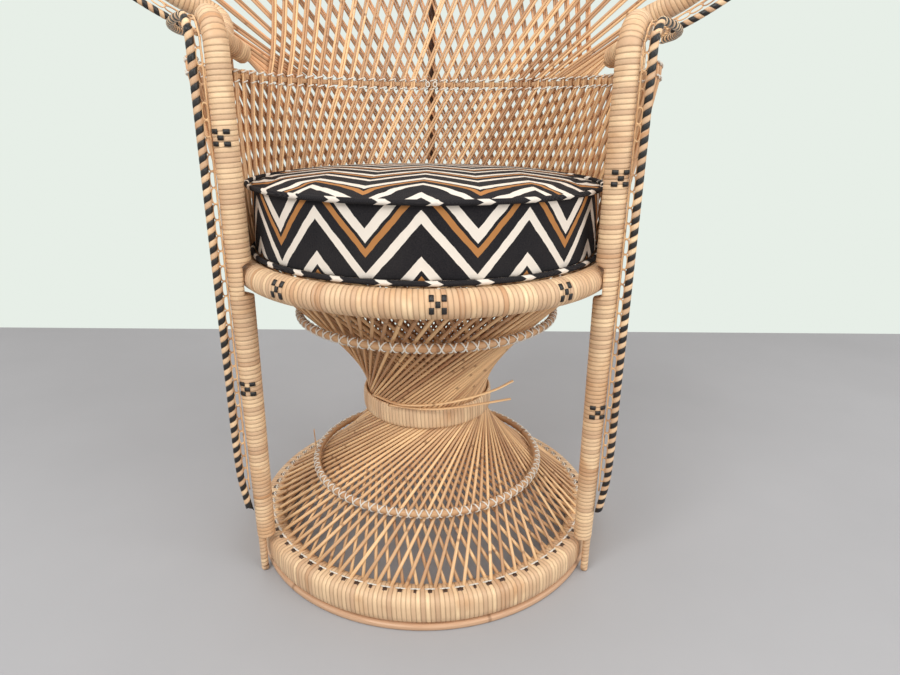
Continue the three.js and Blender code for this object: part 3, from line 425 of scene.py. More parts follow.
def fan_edge():
    """The edge of the crossing canes in the front view, from the left wing to the right."""
    angle = WING + (SPRING - WING) * np.arange(9) / 8
    wing = np.stack([ROLL_A * np.sin(angle), FAN_CENTRE + ROLL_B * np.cos(angle)], axis=-1)
    arch = np.stack(arch_place(np.arange(1, 25) / 48), axis=-1)
    half = np.vstack([[[ROLL_FOOT_R * math.sin(ROLL_FOOT), BAND_TOP]], wing, arch])
    return np.vstack([half * np.array([-1, 1]), half[::-1][1:]])


def shifted(share, amount):
    """Sideways shift of a leaning cane: none at the edges, most in the middle."""
    return share + amount * 4 * share * (1 - share)


def along_row(row, share):
    """The point at a share of the length of a row of points."""
    marks = np.concatenate([[0], np.cumsum(np.linalg.norm(np.diff(row, axis=0), axis=1))])
    return np.array([np.interp(share * marks[-1], marks, c) for c in row.T])


def first_crossing(start, aim, row):
    """The share of the way from start to aim at which a row of points is first crossed."""
    way = aim - start
    stretch = np.diff(row, axis=0)
    offset = row[:-1] - start
    turn = way[0] * stretch[:, 1] - way[1] * stretch[:, 0]
    on_way = (offset[:, 0] * stretch[:, 1] - offset[:, 1] * stretch[:, 0]) / turn
    on_row = (offset[:, 0] * way[1] - offset[:, 1] * way[0]) / turn
    hits = on_way[(on_way > 0) & (on_row >= 0) & (on_row <= 1)]
    return min(1.0, hits.min()) if len(hits) else 1.0


def back_cane(share, lean, offset, edge):
    """The line of one back cane from the seat ring over the tie band to the fan's edge."""
    foot = BUCKET_HALF * (2 * shifted(share, -lean * BUCKET_SHIFT / 2) - 1)
    band = BUCKET_HALF * (2 * shifted(share, lean * BUCKET_SHIFT / 2) - 1)
    t = np.linspace(0, 1, 7)
    angle = foot + (band - foot) * t
    radius = FOOT_R + (BAND_R - FOOT_R) * t + offset
    face = np.stack([np.sin(angle), np.cos(angle), 0 * angle], axis=-1)
    low = face * radius[:, None] + UP * (FLAT_TOP + (BAND_BOTTOM + 0.004 - FLAT_TOP) * t)[:, None]
    if abs(band) >= FAN_HALF:
        tip = low[-1] + UP * (BAND_TOP - BAND_BOTTOM - 0.002)
        return np.vstack([low, tip]), np.vstack([face, face[-1:]])
    spot = np.array([BAND_R * math.sin(band), BAND_TOP])
    fill = (0.5 + band / (2 * FAN_HALF)) * (1 - FAN_SHIFT)
    aim = along_row(edge[1:-1], FAN_SHIFT + fill if lean > 0 else fill)
    end = spot + (aim - spot) * first_crossing(spot, aim, edge)
    u = (np.arange(11) / 10) ** 1.25
    x = spot[0] + (end[0] - spot[0]) * u
    z = spot[1] + (end[1] - spot[1]) * u
    return np.vstack([low, fan_point(x, z, offset)]), np.vstack([face, fan_facing(x, z)])


# The post and arm on the right side, as the frame has them


def arm_points(step, end_angle, end_radius, end_z, count):
    """The line over the bend at a post's top, then back along the arm."""
    radius = POST_R + step
    points = []
    for k in range(5):
        turn = math.pi / 2 * k / 4
        angle = POST_ANGLE + ARM_BEND * (1 - math.cos(turn)) / radius
        points.append(polar(radius, angle, ARM_Z - ARM_BEND + ARM_BEND * math.sin(turn)))
    start = POST_ANGLE + ARM_BEND / radius
    for k in range(1, count + 1):
        t = k / count
        spread = radius + (end_radius - radius) * t
        points.append(polar(spread, start + (end_angle - start) * t, ARM_Z + (end_z - ARM_Z) * t * t))
    return points


def post_points():
    """The middle line of post and arm."""
    straight = [polar(POST_R, POST_ANGLE, z) for z in (0.052, 0.13, 0.213, 0.32, SEAT_TOP, 0.53, 0.6)]
    return np.array(straight + arm_points(0, math.radians(14), ARM_END_R, BAND_TOP + 0.02, 7))


def side_points(step):
    """The line beside post and arm at a step outside them."""
    spread = (BORDER_END_R - POST_R - SIDE_STEP) * step / SIDE_STEP
    return arm_points(step, math.radians(13), POST_R + step + spread, ARM_Z + 0.002, 5)


def level_out(points):
    """Directions away from the chair's axis."""
    flat = np.asarray(points) * np.array([1.0, 1.0, 0.0])
    return unit(flat)


def post_depth(z):
    """Half the thickness of a post at a height."""
    low = 0.0118 + (0.0146 - 0.0118) * (z - 0.048) / (SEAT_TOP - 0.048)
    high = 0.0146 + (POST_DEPTH - 0.0146) * (z - SEAT_TOP) / (ARM_Z - SEAT_TOP)
    return np.where(z < SEAT_TOP, low, high)


def post_fit(route, marks, cut):
    """A post's cut: thickest at the seat, where only its outer half passes the ring."""
    z = route.at(marks)[0][..., 2]
    depth = post_depth(z)
    near = np.abs(z - SEAT_TUBE_Z)
    inner = np.clip((near - 0.0165) / 0.004, 0.02, 1.0)
    inner = np.where(z > ARM_Z - 0.08, 1.0, inner)
    corners = cut[None, :, :] * depth[..., None]
    keep = np.where(corners[..., 0] < 0, inner, 1.0)
    return np.stack([corners[..., 0] * keep, corners[..., 1]], axis=-1)


# Finishes


class Finish:
    """A node material that is put together step by step."""

    def __init__(self, name):
        self.material = bpy.data.materials.new(name)
        self.material.use_nodes = True
        self.tree = self.material.node_tree
        self.shader = self.tree.nodes["Principled BSDF"]

    def put(self, value, socket):
        """Links a socket to a value, or sets the value on it."""
        if isinstance(value, bpy.types.NodeSocket):
            self.tree.links.new(value, socket)
        elif hasattr(value, "__len__") and len(socket.default_value) == 4:
            socket.default_value = (*value[:3], 1.0)
        else:
            socket.default_value = value

    def node(self, kind, inputs=(), **settings):
        """A node with its first inputs filled in order."""
        node = self.tree.nodes.new(kind)
        for name, value in settings.items():
            setattr(node, name, value)
        for value, socket in zip(inputs, node.inputs):
            if value is not None:
                self.put(value, socket)
        return node

    def row(self, name):
        """What the mesh holds under a name at each corner."""
        return self.node("ShaderNodeAttribute", attribute_name=name).outputs["Fac"]

    def place(self):
        """Places on the piece in metres."""
        return self.node("ShaderNodeTexCoord").outputs["Object"]

    def math(self, operation, a, b=0.0):
        """One sum."""
        return self.node("ShaderNodeMath", (a, b), operation=operation).outputs[0]

    def times(self, a, b):
        """A product."""
        return self.math("MULTIPLY", a, b)

    def spread(self, value, low, high, to_low=0.0, to_high=1.0):
        """A value moved from one range to another."""
        node = self.node("ShaderNodeMapRange", (value, low, high, to_low, to_high))
        return node.outputs[0]

    def vector(self, x, y, z):
        """A place put together from three values."""
        return self.node("ShaderNodeCombineXYZ", (x, y, z)).outputs[0]

    def noise(self, place, scale, detail=3.0, rough=0.55):
        """Soft irregular shares."""
        node = self.tree.nodes.new("ShaderNodeTexNoise")
        self.put(place, node.inputs["Vector"])
        node.inputs["Scale"].default_value = scale
        node.inputs["Detail"].default_value = detail
        node.inputs["Roughness"].default_value = rough
        return node.outputs["Fac"]

    def mix(self, share, a, b, blend="MIX"):
        """Two colours mixed."""
        node = self.tree.nodes.new("ShaderNodeMix")
        node.data_type = "RGBA"
        node.blend_type = blend
        self.put(share, node.inputs[0])
        self.put(a, node.inputs[6])
        self.put(b, node.inputs[7])
        return node.outputs[2]

    def relief(self, height, depth, strength=0.6):
        """Fine relief on the shader's normal."""
        node = self.tree.nodes.new("ShaderNodeBump")
        node.inputs["Strength"].default_value = strength
        node.inputs["Distance"].default_value = depth
        self.put(height, node.inputs["Height"])
        self.put(node.outputs[0], self.shader.inputs["Normal"])

    def surface(self, colour, roughness, specular=0.4):
        """Joins the results to the shader."""
        self.put(colour, self.shader.inputs["Base Color"])
        self.put(roughness, self.shader.inputs["Roughness"])
        self.shader.inputs["Specular IOR Level"].default_value = specular
        return self.material


def darker(colour, share):
    """A colour at a share of its brightness."""
    return tuple(c * share for c in colour[:3])


def strip_finish(name, colour, groove, stain, gloss=0.5):
    """Split cane as it is wound: long fibres, turns that differ, painted shade with some dirt in the grooves
    between turns, and stains.
    """
    f = Finish(name)
    turn, edge, tint = f.row("turn"), f.row("edge"), f.row("tint")
    lines = f.vector(f.times(turn, 0.9), f.times(edge, 7.0), f.times(tint, 37.0))
    fibre = f.noise(lines, 2.2, 4.0, 0.65)
    blotch = f.noise(f.place(), 16.0, 3.0)
    body = f.mix(f.spread(tint, 0.15, 0.9), darker(colour, 0.64), [min(0.95, c * 1.16) for c in colour])
    body = f.mix(f.spread(fibre, 0.4, 0.75), body, darker(colour, 0.74))
    old = f.times(f.spread(blotch, 0.5, 0.66), f.spread(tint, 0.3, 0.9, 0.25, 0.7))
    body = f.mix(old, body, stain)
    rare = f.times(f.spread(tint, 0.17, 0.13), f.spread(f.noise(lines, 0.7, 1.0), 0.42, 0.58))
    body = f.mix(f.times(rare, 0.8), body, stain)
    # Painted shade with some dirt: the groove colour darkens each turn towards its edges, where the turns
    # meet.
    deep = f.math("POWER", edge, 5.0)
    body = f.mix(f.times(deep, 0.62), body, groove)
    f.relief(f.math("SUBTRACT", fibre, f.times(edge, 0.35)), 0.0005, 0.5)
    return f.surface(body, f.spread(fibre, 0.3, 0.7, gloss - 0.08, gloss + 0.12), 0.45)


def cane_finish(name, colour, dark, gloss=0.5):
    """Whole cane: a streaked skin, joints along its length and strands that differ."""
    f = Finish(name)
    turn, edge, tint = f.row("turn"), f.row("edge"), f.row("tint")
    lines = f.vector(f.times(turn, 9.0), f.times(edge, 3.0), f.times(tint, 53.0))
    streak = f.noise(lines, 2.5, 4.0, 0.6)
    patch = f.noise(f.vector(f.times(turn, 4.0), f.times(tint, 91.0), 0.0), 1.6, 2.0)
    body = f.mix(f.spread(tint, 0.1, 0.9), darker(colour, 0.58), [min(0.95, c * 1.2) for c in colour])
    body = f.mix(f.spread(streak, 0.45, 0.75, 0.0, 0.75), body, dark)
    body = f.mix(f.spread(patch, 0.58, 0.72, 0.0, 0.6), body, dark)
    joint = f.math("PINGPONG", f.math("ADD", turn, f.times(tint, 2.3)), 0.13)
    body = f.mix(f.spread(joint, 0.003, 0.0008, 0.0, 0.65), body, darker(dark, 0.55))
    f.relief(streak, 0.0004, 0.45)
    return f.surface(body, f.spread(streak, 0.3, 0.7, gloss - 0.1, gloss + 0.12), 0.45)


def thread_finish(name, colour):
    """Pale tying thread with a twist."""
    f = Finish(name)
    turn, edge = f.row("turn"), f.row("edge")
    lay = f.noise(f.vector(f.times(turn, 260.0), f.times(edge, 2.0), 0.0), 3.0, 2.0)
    body = f.mix(f.spread(lay, 0.35, 0.7), colour, darker(colour, 0.66))
    f.relief(lay, 0.0003, 0.6)
    return f.surface(body, f.spread(lay, 0.3, 0.7, 0.7, 0.88), 0.25)


def cloth_weave(f, place, pitch):
    """The over and under of a plain weave."""
    a = f.node("ShaderNodeSeparateXYZ", (place,)).outputs
    wave = [f.math("SINE", f.times(axis, 2 * math.pi / pitch)) for axis in a]
    return f.math("ADD", f.times(wave[0], wave[1]), f.times(wave[2], 0.5))


def print_finish(name, black, cream, ochre, band):
    """Printed cotton with zigzag stripes over the top and round the sides."""
    f = Finish(name)
    place = f.place()
    x, y, z = f.node("ShaderNodeSeparateXYZ", (place,)).outputs
    y = f.math("SUBTRACT", y, AXIS_Y)
    top = f.node("ShaderNodeSeparateXYZ", (f.node("ShaderNodeTexCoord").outputs["Normal"],)).outputs[2]
    lies = f.spread(f.math("ABSOLUTE", top), 0.55, 0.7)
    round_ = f.times(f.math("ARCTAN2", y, x), PRINT_R)
    across = f.node("ShaderNodeMix", data_type="FLOAT")
    up = f.node("ShaderNodeMix", data_type="FLOAT")
    for node, low, high in ((across, round_, x), (up, z, y)):
        f.put(lies, node.inputs[0])
        f.put(low, node.inputs[2])
        f.put(high, node.inputs[3])
    wobble = f.times(f.math("SUBTRACT", f.noise(place, 55.0, 2.0), 0.5), 0.004)
    zig = f.math("PINGPONG", across.outputs[0], ZIG_HALF)
    level = f.math("ADD", f.math("ADD", up.outputs[0], f.times(zig, ZIG_SLOPE)), wobble)
    share = f.math("FRACT", f.math("DIVIDE", level, band * 6))
    fine = f.noise(place, 900.0, 2.0)
    stripes = f.node("ShaderNodeValToRGB", (share,))
    ramp = stripes.color_ramp
    ramp.interpolation = "CONSTANT"
    spots = (0.0, 0.26, 0.4, 0.58, 0.68, 0.74, 0.9)
    tones = (black, cream, black, ochre, black, cream, black)
    for spot in spots[2:]:
        ramp.elements.new(spot)
    for element, spot, colour in zip(ramp.elements, spots, tones):
        element.position = spot
        element.color = (*colour[:3], 1.0)
    body = f.mix(f.spread(fine, 0.3, 0.8, 0.0, 0.04), stripes.outputs[0], darker(cream, 0.55))
    body = f.mix(f.spread(f.noise(place, 9.0, 3.0), 0.5, 0.8, 0.0, 0.03), body, darker(cream, 0.4))
    threads = cloth_weave(f, place, THREAD_PITCH)
    f.relief(f.math("ADD", threads, f.times(fine, 0.6)), 0.0003, 0.45)
    f.shader.inputs["Sheen Weight"].default_value = 0.02
    return f.surface(body, f.spread(fine, 0.2, 0.8, 0.82, 0.95), 0.15)


def piping_finish(name, black, cream):
    """Cord covered in the dark cloth on the bias, with pale dashes of the print."""
    f = Finish(name)
    turn, edge = f.row("turn"), f.row("edge")
    slant = f.math("ADD", turn, f.times(edge, 0.006))
    dash = f.math("PINGPONG", slant, 0.026)
    place = f.place()
    patch = f.noise(place, 70.0, 2.0)
    body = f.mix(f.spread(f.math("ADD", dash, f.times(patch, 0.006)), 0.0222, 0.023), black, cream)
    weave = cloth_weave(f, place, THREAD_PITCH)
    body = f.mix(f.spread(weave, 0.2, 1.2, 0.0, 0.25), body, darker(cream, 0.3))
    f.relief(weave, 0.0003, 0.5)
    return f.surface(body, f.spread(patch, 0.2, 0.8, 0.84, 0.95), 0.2)


def plain_finish(name, colour, grain=2.0):
    """A matt painted or plastered surface with a faint grain."""
    f = Finish(name)
    cloud = f.noise(f.place(), grain, 4.0, 0.6)
    body = f.mix(f.spread(cloud, 0.3, 0.7), colour, darker(colour, 0.94))
    f.relief(f.noise(f.place(), grain * 60, 3.0), 0.0006, 0.12)
    return f.surface(body, f.spread(cloud, 0.3, 0.7, 0.78, 0.9), 0.2)


FINISHES = {}


def finish(name):
    """The named finish, made once from the colours in the panel."""
    if name not in FINISHES:
        c = bpy.context.scene.chair_colours
        honey, ink, tan, dark = (tuple(v) for v in (c.strip, c.black_strip, c.cane, c.cane_dark))
        black, cream, ochre = (tuple(v) for v in (c.print_black, c.print_cream, c.print_ochre))
        band = bpy.context.scene.chair_sizes.print_band
        makers = {
            # For each wound strip the third colour is the painted shade with some dirt in its grooves, the
            # fourth its stains.
            "honey_strip": lambda: strip_finish(name, honey, (0.17, 0.08, 0.034), (0.56, 0.28, 0.12)),
            "black_strip": lambda: strip_finish(name, ink, (0.004, 0.004, 0.004), (0.03, 0.02, 0.016), 0.38),
            "cane_skin": lambda: cane_finish(name, tan, dark),
            # The rear layers of back and fan take the same cane made darker, as painted shade behind the
            # front layer.
            "cane_dark": lambda: cane_finish(name, darker(tan, 0.86), darker(dark, 0.9)),
            "rib_wood": lambda: cane_finish(name, (0.1, 0.04, 0.017), (0.03, 0.013, 0.007), 0.45),
            "rim_wood": lambda: cane_finish(name, (0.7, 0.44, 0.27), (0.44, 0.22, 0.11), 0.48),
            "tie_strip": lambda: cane_finish(name, (0.7, 0.44, 0.24), (0.42, 0.2, 0.08)),
            "white_thread": lambda: thread_finish(name, tuple(c.thread)),
            "print_cotton": lambda: print_finish(name, black, cream, ochre, band),
            "piping_cotton": lambda: piping_finish(name, black, cream),
        }
        FINISHES[name] = makers[name]()
    return FINISHES[name]


# Settings


class ChairSizes(bpy.types.PropertyGroup):
    """Sizes of the strands and of the cloth."""

    strip: bpy.props.FloatProperty(
        name="Strip width", description="Width of one wound turn",
        default=0.0055, min=0.003, max=0.012, unit="LENGTH")
    stripe: bpy.props.FloatProperty(
        name="Stripe width", description="Width of one black or natural turn of the borders",
        default=0.007, min=0.004, max=0.02, unit="LENGTH")
    loop: bpy.props.FloatProperty(
        name="Loop pitch", description="Distance between two loops of the laces",
        default=0.0172, min=0.01, max=0.04, unit="LENGTH")
    base_canes: bpy.props.IntProperty(
        name="Base canes", description="Canes in each family of the base", default=80, min=40, max=120)
    back_canes: bpy.props.IntProperty(
        name="Back canes", description="Paired canes in each layer of the back", default=68, min=30, max=90)
    spokes: bpy.props.IntProperty(
        name="Spoke tips", description="Tips of each zigzag layer above the arch", default=41, min=15, max=81)
    crown: bpy.props.FloatProperty(
        name="Cushion crown", description="Rise of the cushion's top over its edge before it swells",
        default=0.007, min=0.0, max=0.03, unit="LENGTH")
    swell: bpy.props.FloatProperty(
        name="Cushion swell", description="Most that the filling pushes the cover out",
        default=0.006, min=0.0, max=0.016, unit="LENGTH")
    print_band: bpy.props.FloatProperty(
        name="Print band", description="Mean width of one printed stripe",
        default=0.0155, min=0.004, max=0.04, unit="LENGTH")


def colour_setting(name, description, default):
    """A colour in the panel."""
    return bpy.props.FloatVectorProperty(
        name=name, description=description, subtype="COLOR", size=3, min=0, max=1, default=default)


class ChairColours(bpy.types.PropertyGroup):
    """Colours of strands, cloth and floor."""

    strip: colour_setting("Strip", "Wound split cane", (0.93, 0.6, 0.36))
    cane: colour_setting("Cane", "Whole canes", (0.91, 0.53, 0.28))
    cane_dark: colour_setting("Cane streaks", "Dark streaks and joints of the canes", (0.44, 0.19, 0.08))
    black_strip: colour_setting("Black strip", "Dyed turns of the borders", (0.016, 0.014, 0.014))
    thread: colour_setting("Thread", "Tying thread", (0.9, 0.84, 0.74))
    print_black: colour_setting("Print black", "Dark ground of the cushion", (0.01, 0.009, 0.012))
    print_cream: colour_setting("Print cream", "Pale stripes of the cushion", (0.84, 0.76, 0.66))
    print_ochre: colour_setting("Print ochre", "Warm stripes of the cushion", (0.46, 0.2, 0.06))
    floor: colour_setting("Floor", "Pale floor", (0.42, 0.42, 0.43))
    wall: colour_setting("Backdrop", "Pale room round the chair", (0.8, 0.86, 0.8))


# Groups of like pieces


def checker(weave, centre, out, along, side):
    """Five dark squares woven into a binding, in the form of a cross of corners and centre."""
    across = np.cross(along, out)
    for row in (-1, 0, 1):
        for column in (-1, 0, 1):
            if (row + column) % 2 == 0:
                spots = []
                for u in np.linspace(-0.5, 0.5, 4):
                    bend = (column + u) * side
                    sink = bend * bend / 0.03
                    spots.append(centre + along * row * side + across * bend - out * sink)
                cane(weave, spots, out, 0.46 * side, 0.0009, 6, 0.4 + 0.1 * row)


def stitch(weave, points, facing, thick=0.0008, tint=0.5, finish=0):
    """A short tying thread."""
    cane(weave, smooth(points, steps=3), facing, thick, 0.75 * thick, 5, tint, finish=finish)


def loops(weave, route, half_wide, pitch, thick, seed, start=0.0, stop=None):
    """A chain of rounded loops that lie side by side along a route."""
    stop = route.length if stop is None else stop
    count = int((stop - start) / pitch)
    step = (stop - start) / count
    shades = noise(seed, count)
    angle = 2 * math.pi * np.arange(18) / 18
    c, s = np.cos(angle), np.sin(angle)
    shape = (np.abs(c) ** 2.8 + np.abs(s) ** 2.8) ** (-1 / 2.8)
    for i in range(count):
        marks = start + (i + 0.5) * step + (0.5 * step - 0.35 * thick) * c * shape
        centre, _, out, across = route.at(marks)
        lift = 0.35 * thick * np.cos(angle * 2 + i)
        line = centre + across * (half_wide * s * shape)[:, None] + out * lift[:, None]
        cane(weave, line, out, thick, thick, 6, shades[i], closed=True)


class MakeBaseRing(bpy.types.Operator):
    """Winds the base ring over its smooth rim hoop, and sets dark plates of painted shade and white ties
    where the canes' feet enter
    """

    bl_idname = "chair.base_ring"
    bl_label = "Base ring"

    def execute(self, context):
        sizes = context.scene.chair_sizes
        low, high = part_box("base_rim_hoop")
        rim = Weave()
        rim_top = low.z + RIM_SHOWN * (high.z - low.z)
        middle = (low.z + rim_top) / 2
        points, out = hoop(high.x - 0.0135, middle, 160)
        cut = oval(0.0133, (rim_top - low.z) / 2, RIM_SIDES, 5.0)
        route = Route(points, out, True, 2)
        marks = np.linspace(0, route.length, RIM_STEPS, endpoint=False)
        centre, _, face, across = route.at(marks)
        ring = centre[:, None] + face[:, None] * cut[None, :, :1] + across[:, None] * cut[None, :, 1:]
        faces = []
        for i in range(RIM_STEPS):
            j = (i + 1) % RIM_STEPS
            for k in range(RIM_SIDES):
                n = (k + 1) % RIM_SIDES
                a, b = i * RIM_SIDES, j * RIM_SIDES
                faces.append((a + k, a + n, b + n, b + k))
        grain = np.tile(np.abs(np.sin(np.arange(RIM_SIDES) * 0.31)), RIM_STEPS)
        rim.add(ring, faces, [0] * len(faces), np.repeat(marks, RIM_SIDES), grain, 0.5)
        rim.piece("base_rim", [finish("rim_wood")], "frame", "cane", ["base_rim_hoop"])

        ring = Weave()
        height = (BASE_HIGH.z - rim_top) / 2
        points, out = hoop(BASE_HIGH.x - 0.018, rim_top + height, 120)
        wound(ring, Route(points, out, True, 4), oval(0.0176, height - 0.0002, 20, 4.0), sizes.strip, seed=11)
        ring.piece("base_ring_winding", [finish("honey_strip")], "frame", "winding", ["base_ring"])

        ties_and_shade_plates = Weave()
        gaps = noise(13, sizes.base_canes)
        for i in range(sizes.base_canes):
            angle = 2 * math.pi * (i + 0.5) / sizes.base_canes
            out = polar(1, angle, 0)
            side = polar(1, angle + math.pi / 2, 0)
            # Each dark plate is painted shade: it stands for the shadow in the gap between turns where a
            # cane's foot enters.
            spot = polar(BASE_HIGH.x - 0.0148, angle, BASE_HIGH.z - 0.0002)
            half = 0.0016 + 0.002 * gaps[i]
            tilt = unit(out * 0.3 + UP)
            row = [spot - side * half, spot, spot + side * half]
            cane(ties_and_shade_plates, row, tilt, 0.0034, 0.0008, 6, 0.2, finish=1)
            for turn in (-1, 1):
                foot = polar(BASE_HIGH.x - 0.0205, angle, BASE_HIGH.z + 0.001) + side * 0.0025 * turn
                ends = [foot - side * 0.004 * turn - UP * 0.002, foot + out * 0.0035 + UP * 0.001,
                        foot + side * 0.004 * turn - UP * 0.002]
                stitch(ties_and_shade_plates, ends, out + UP, 0.0009, 0.5)
        ties_and_shade_plates.piece("base_ring_ties", [finish("white_thread"), finish("rib_wood")], "frame", "winding")
        return {"FINISHED"}


class MakeBaseCanes(bpy.types.Operator):
    """Sets the two crossing families of canes that form the hourglass"""

    bl_idname = "chair.base_canes"
    bl_label = "Base canes"

    def execute(self, context):
        sizes = context.scene.chair_sizes
        for family, waist, lean, foot_r, head_r in BASE_FAMILIES:
            weave = Weave()
            shades = noise(31 if lean > 0 else 32, sizes.base_canes)
            for i in range(sizes.base_canes):
                angle = 2 * math.pi * i / sizes.base_canes
                foot = polar(foot_r, angle - lean * math.acos(waist / foot_r), CANE_FOOT_Z)
                head = polar(head_r, angle + lean * math.acos(waist / head_r), CANE_HEAD_Z)
                low = polar(waist, angle, WAIST_Z - 0.01)
                high = polar(waist, angle, WAIST_Z + 0.01)
                t = np.linspace(0, 1, 7)[:, None]
                line = np.vstack([foot + (low - foot) * t, high + (head - high) * t])
                grow = np.concatenate([np.linspace(1, 0, 7), np.linspace(0, 1, 7)])
                cane(weave, line, level_out(line), 0.00195 + 0.0005 * grow, 0.0019, 8, shades[i])
            nodes = [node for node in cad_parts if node.startswith(f"base_canes_{family}_")]
            weave.piece(f"base_canes_{family}_strands", [finish("cane_skin")], "frame", "cane", nodes)
        return {"FINISHED"}


class MakeHoops(bpy.types.Operator):
    """Ties the two hoops to the base canes with crossed threads and winds the waist"""

    bl_idname = "chair.hoops"
    bl_label = "Hoops and waist"

    def execute(self, context):
        sizes = context.scene.chair_sizes
        for name in ("lower_hoop", "upper_hoop"):
            low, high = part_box(name)
            radius = high.x - 0.005
            z = (low.z + high.z) / 2
            weave = Weave()
            points, out = hoop(radius, z, 160)
            cane(weave, points, out, 0.0047, 0.0047, 12, 0.25, closed=True)
            shades = noise(41, sizes.base_canes)
            for i in range(sizes.base_canes):
                angle = 2 * math.pi * (i + 0.5) / sizes.base_canes
                for turn in (-1, 1):
                    line = []
                    for t in np.linspace(-1, 1, 7):
                        lean = angle + turn * t * 0.0052 / radius
                        rise = t * 1.9
                        reach = radius + TIE_REACH * math.cos(rise)
                        line.append(polar(reach, lean, z + TIE_REACH * math.sin(rise)))
                    lines = np.array(line)
                    away = lines - polar(radius, angle, z)
                    cane(weave, lines, away, 0.001, 0.0007, 5, shades[i], finish=1)
            skins = [finish("cane_skin"), finish("white_thread")]
            weave.piece(name + "_tied", skins, "frame", "winding", [name])
        band = Weave()
        points, out = hoop(WAIST_HIGH.x - 0.0031, WAIST_Z, 64)
        wound(band, Route(points, out, True, 3), oval(0.003, 0.0145, 16, 2.6), 0.005, seed=43)
        band.piece("waist_winding", [finish("honey_strip")], "frame", "winding", ["waist_band"])
        loose = Weave()
        for n, (spots, face) in enumerate(LOOSE_ENDS):
            line = smooth(np.array(spots), steps=6)
            cane(loose, line, face, 0.0019, 0.0007, 6, 0.85 - 0.2 * n)
        loose.piece("loose_cane_ends", [finish("cane_skin")], "frame", "cane")
        return {"FINISHED"}


class MakeSeat(bpy.types.Operator):
    """Winds the seat ring and weaves the deck inside it"""

    bl_idname = "chair.seat"
    bl_label = "Seat ring and deck"

    def execute(self, context):
        sizes = context.scene.chair_sizes
        ring = Weave()
        points, out = hoop(SEAT_TUBE_R, SEAT_TUBE_Z, 120)
        wound(ring, Route(points, out, True, 4), oval(SEAT_TUBE, SEAT_TUBE, 18), sizes.strip, seed=51)
        points, out = hoop(0.2168, 0.4083, 120)
        wound(ring, Route(points, out, True, 2), oval(0.0086, 0.008, 10), 2 * sizes.strip, seed=52)
        ring.piece("seat_ring_winding", [finish("honey_strip")], "frame", "winding", ["seat_ring"])
        marks = Weave()
        for degrees in SEAT_MARKS:
            angle = math.radians(degrees)
            out = polar(math.cos(0.25), angle, math.sin(0.25))
            centre = polar(SEAT_TUBE_R, angle, SEAT_TUBE_Z) + out * (SEAT_TUBE + 0.0004)
            checker(marks, centre, out, polar(1, angle + math.pi / 2, 0), CHECK_SIDE)
        marks.piece("seat_ring_checks", [finish("black_strip")], "frame", "striped")
        deck = Weave()
        count = int(2 * DECK_R / DECK_PITCH)
        shades = noise(55, 2 * count)
        for lane in range(2):
            for i in range(count):
                side = (i + 0.5 - count / 2) * DECK_PITCH
                half = math.sqrt(DECK_R**2 - side**2) - 0.002
                run = np.linspace(-half, half, max(8, int(8 * half / DECK_PITCH)))
                wave = np.cos(math.pi * (run / DECK_PITCH + 0.5 * count + i + lane)) * DECK_WAVE
                z = DECK_Z + (wave if lane == 0 else -wave)
                flat = (run, 0 * run + side, z) if lane == 0 else (0 * run + side, run, z)
                cane(deck, np.stack(flat, axis=-1), UP, 0.0062, 0.0007, 6, shades[2 * i + lane])
        deck.piece("seat_deck_weave", [finish("cane_skin")], "frame", "deck", ["seat_deck"])
        return {"FINISHED"}


class MakePosts(bpy.types.Operator):
    """Winds the two posts with their arms and feet"""

    bl_idname = "chair.posts"
    bl_label = "Posts and arms"

    def execute(self, context):
        sizes = context.scene.chair_sizes
        line = post_points()
        peg = np.array([polar(PEG_R, POST_ANGLE, z) for z in (0.0042, 0.02, 0.036, 0.056)])
        for side in ("right", "left"):
            turned = (lambda p: np.asarray(p)) if side == "right" else mirrored
            weave = Weave()
            route = Route(turned(line), turned(level_out(line)), steps=6)
            wound(weave, route, oval(1, 1, 14), sizes.strip, seed=61 if side == "right" else 62, fit=post_fit)
            foot = Route(turned(peg), turned(level_out(peg)), steps=6)
            wound(weave, foot, oval(0.005, 0.0052, 12), sizes.strip, seed=63)
            tip = [turned(polar(PEG_R, POST_ANGLE, z)) for z in (0.0, 0.0004, 0.0014, 0.003, 0.0055)]
            spread = np.array([0.0012, 0.0029, 0.0042, 0.0049, 0.005])
            cane(weave, tip, turned(polar(1, POST_ANGLE, 0)), spread, spread, 12, 0.4)
            nodes = [f"{side}_outer_pole", f"{side}_lower_strut", f"{side}_upper_pole"]
            weave.piece(f"{side}_post_winding", [finish("honey_strip")], "frame", "winding", nodes)
            marks = Weave()
            for z in POST_MARKS[side]:
                out = turned(polar(1, math.radians(-86), 0))
                centre = turned(polar(POST_R, POST_ANGLE, z)) + out * (float(post_depth(z)) + 0.0004)
                checker(marks, centre, out, UP, CHECK_SIDE)
            marks.piece(f"{side}_post_checks", [finish("black_strip")], "frame", "striped")
        return {"FINISHED"}


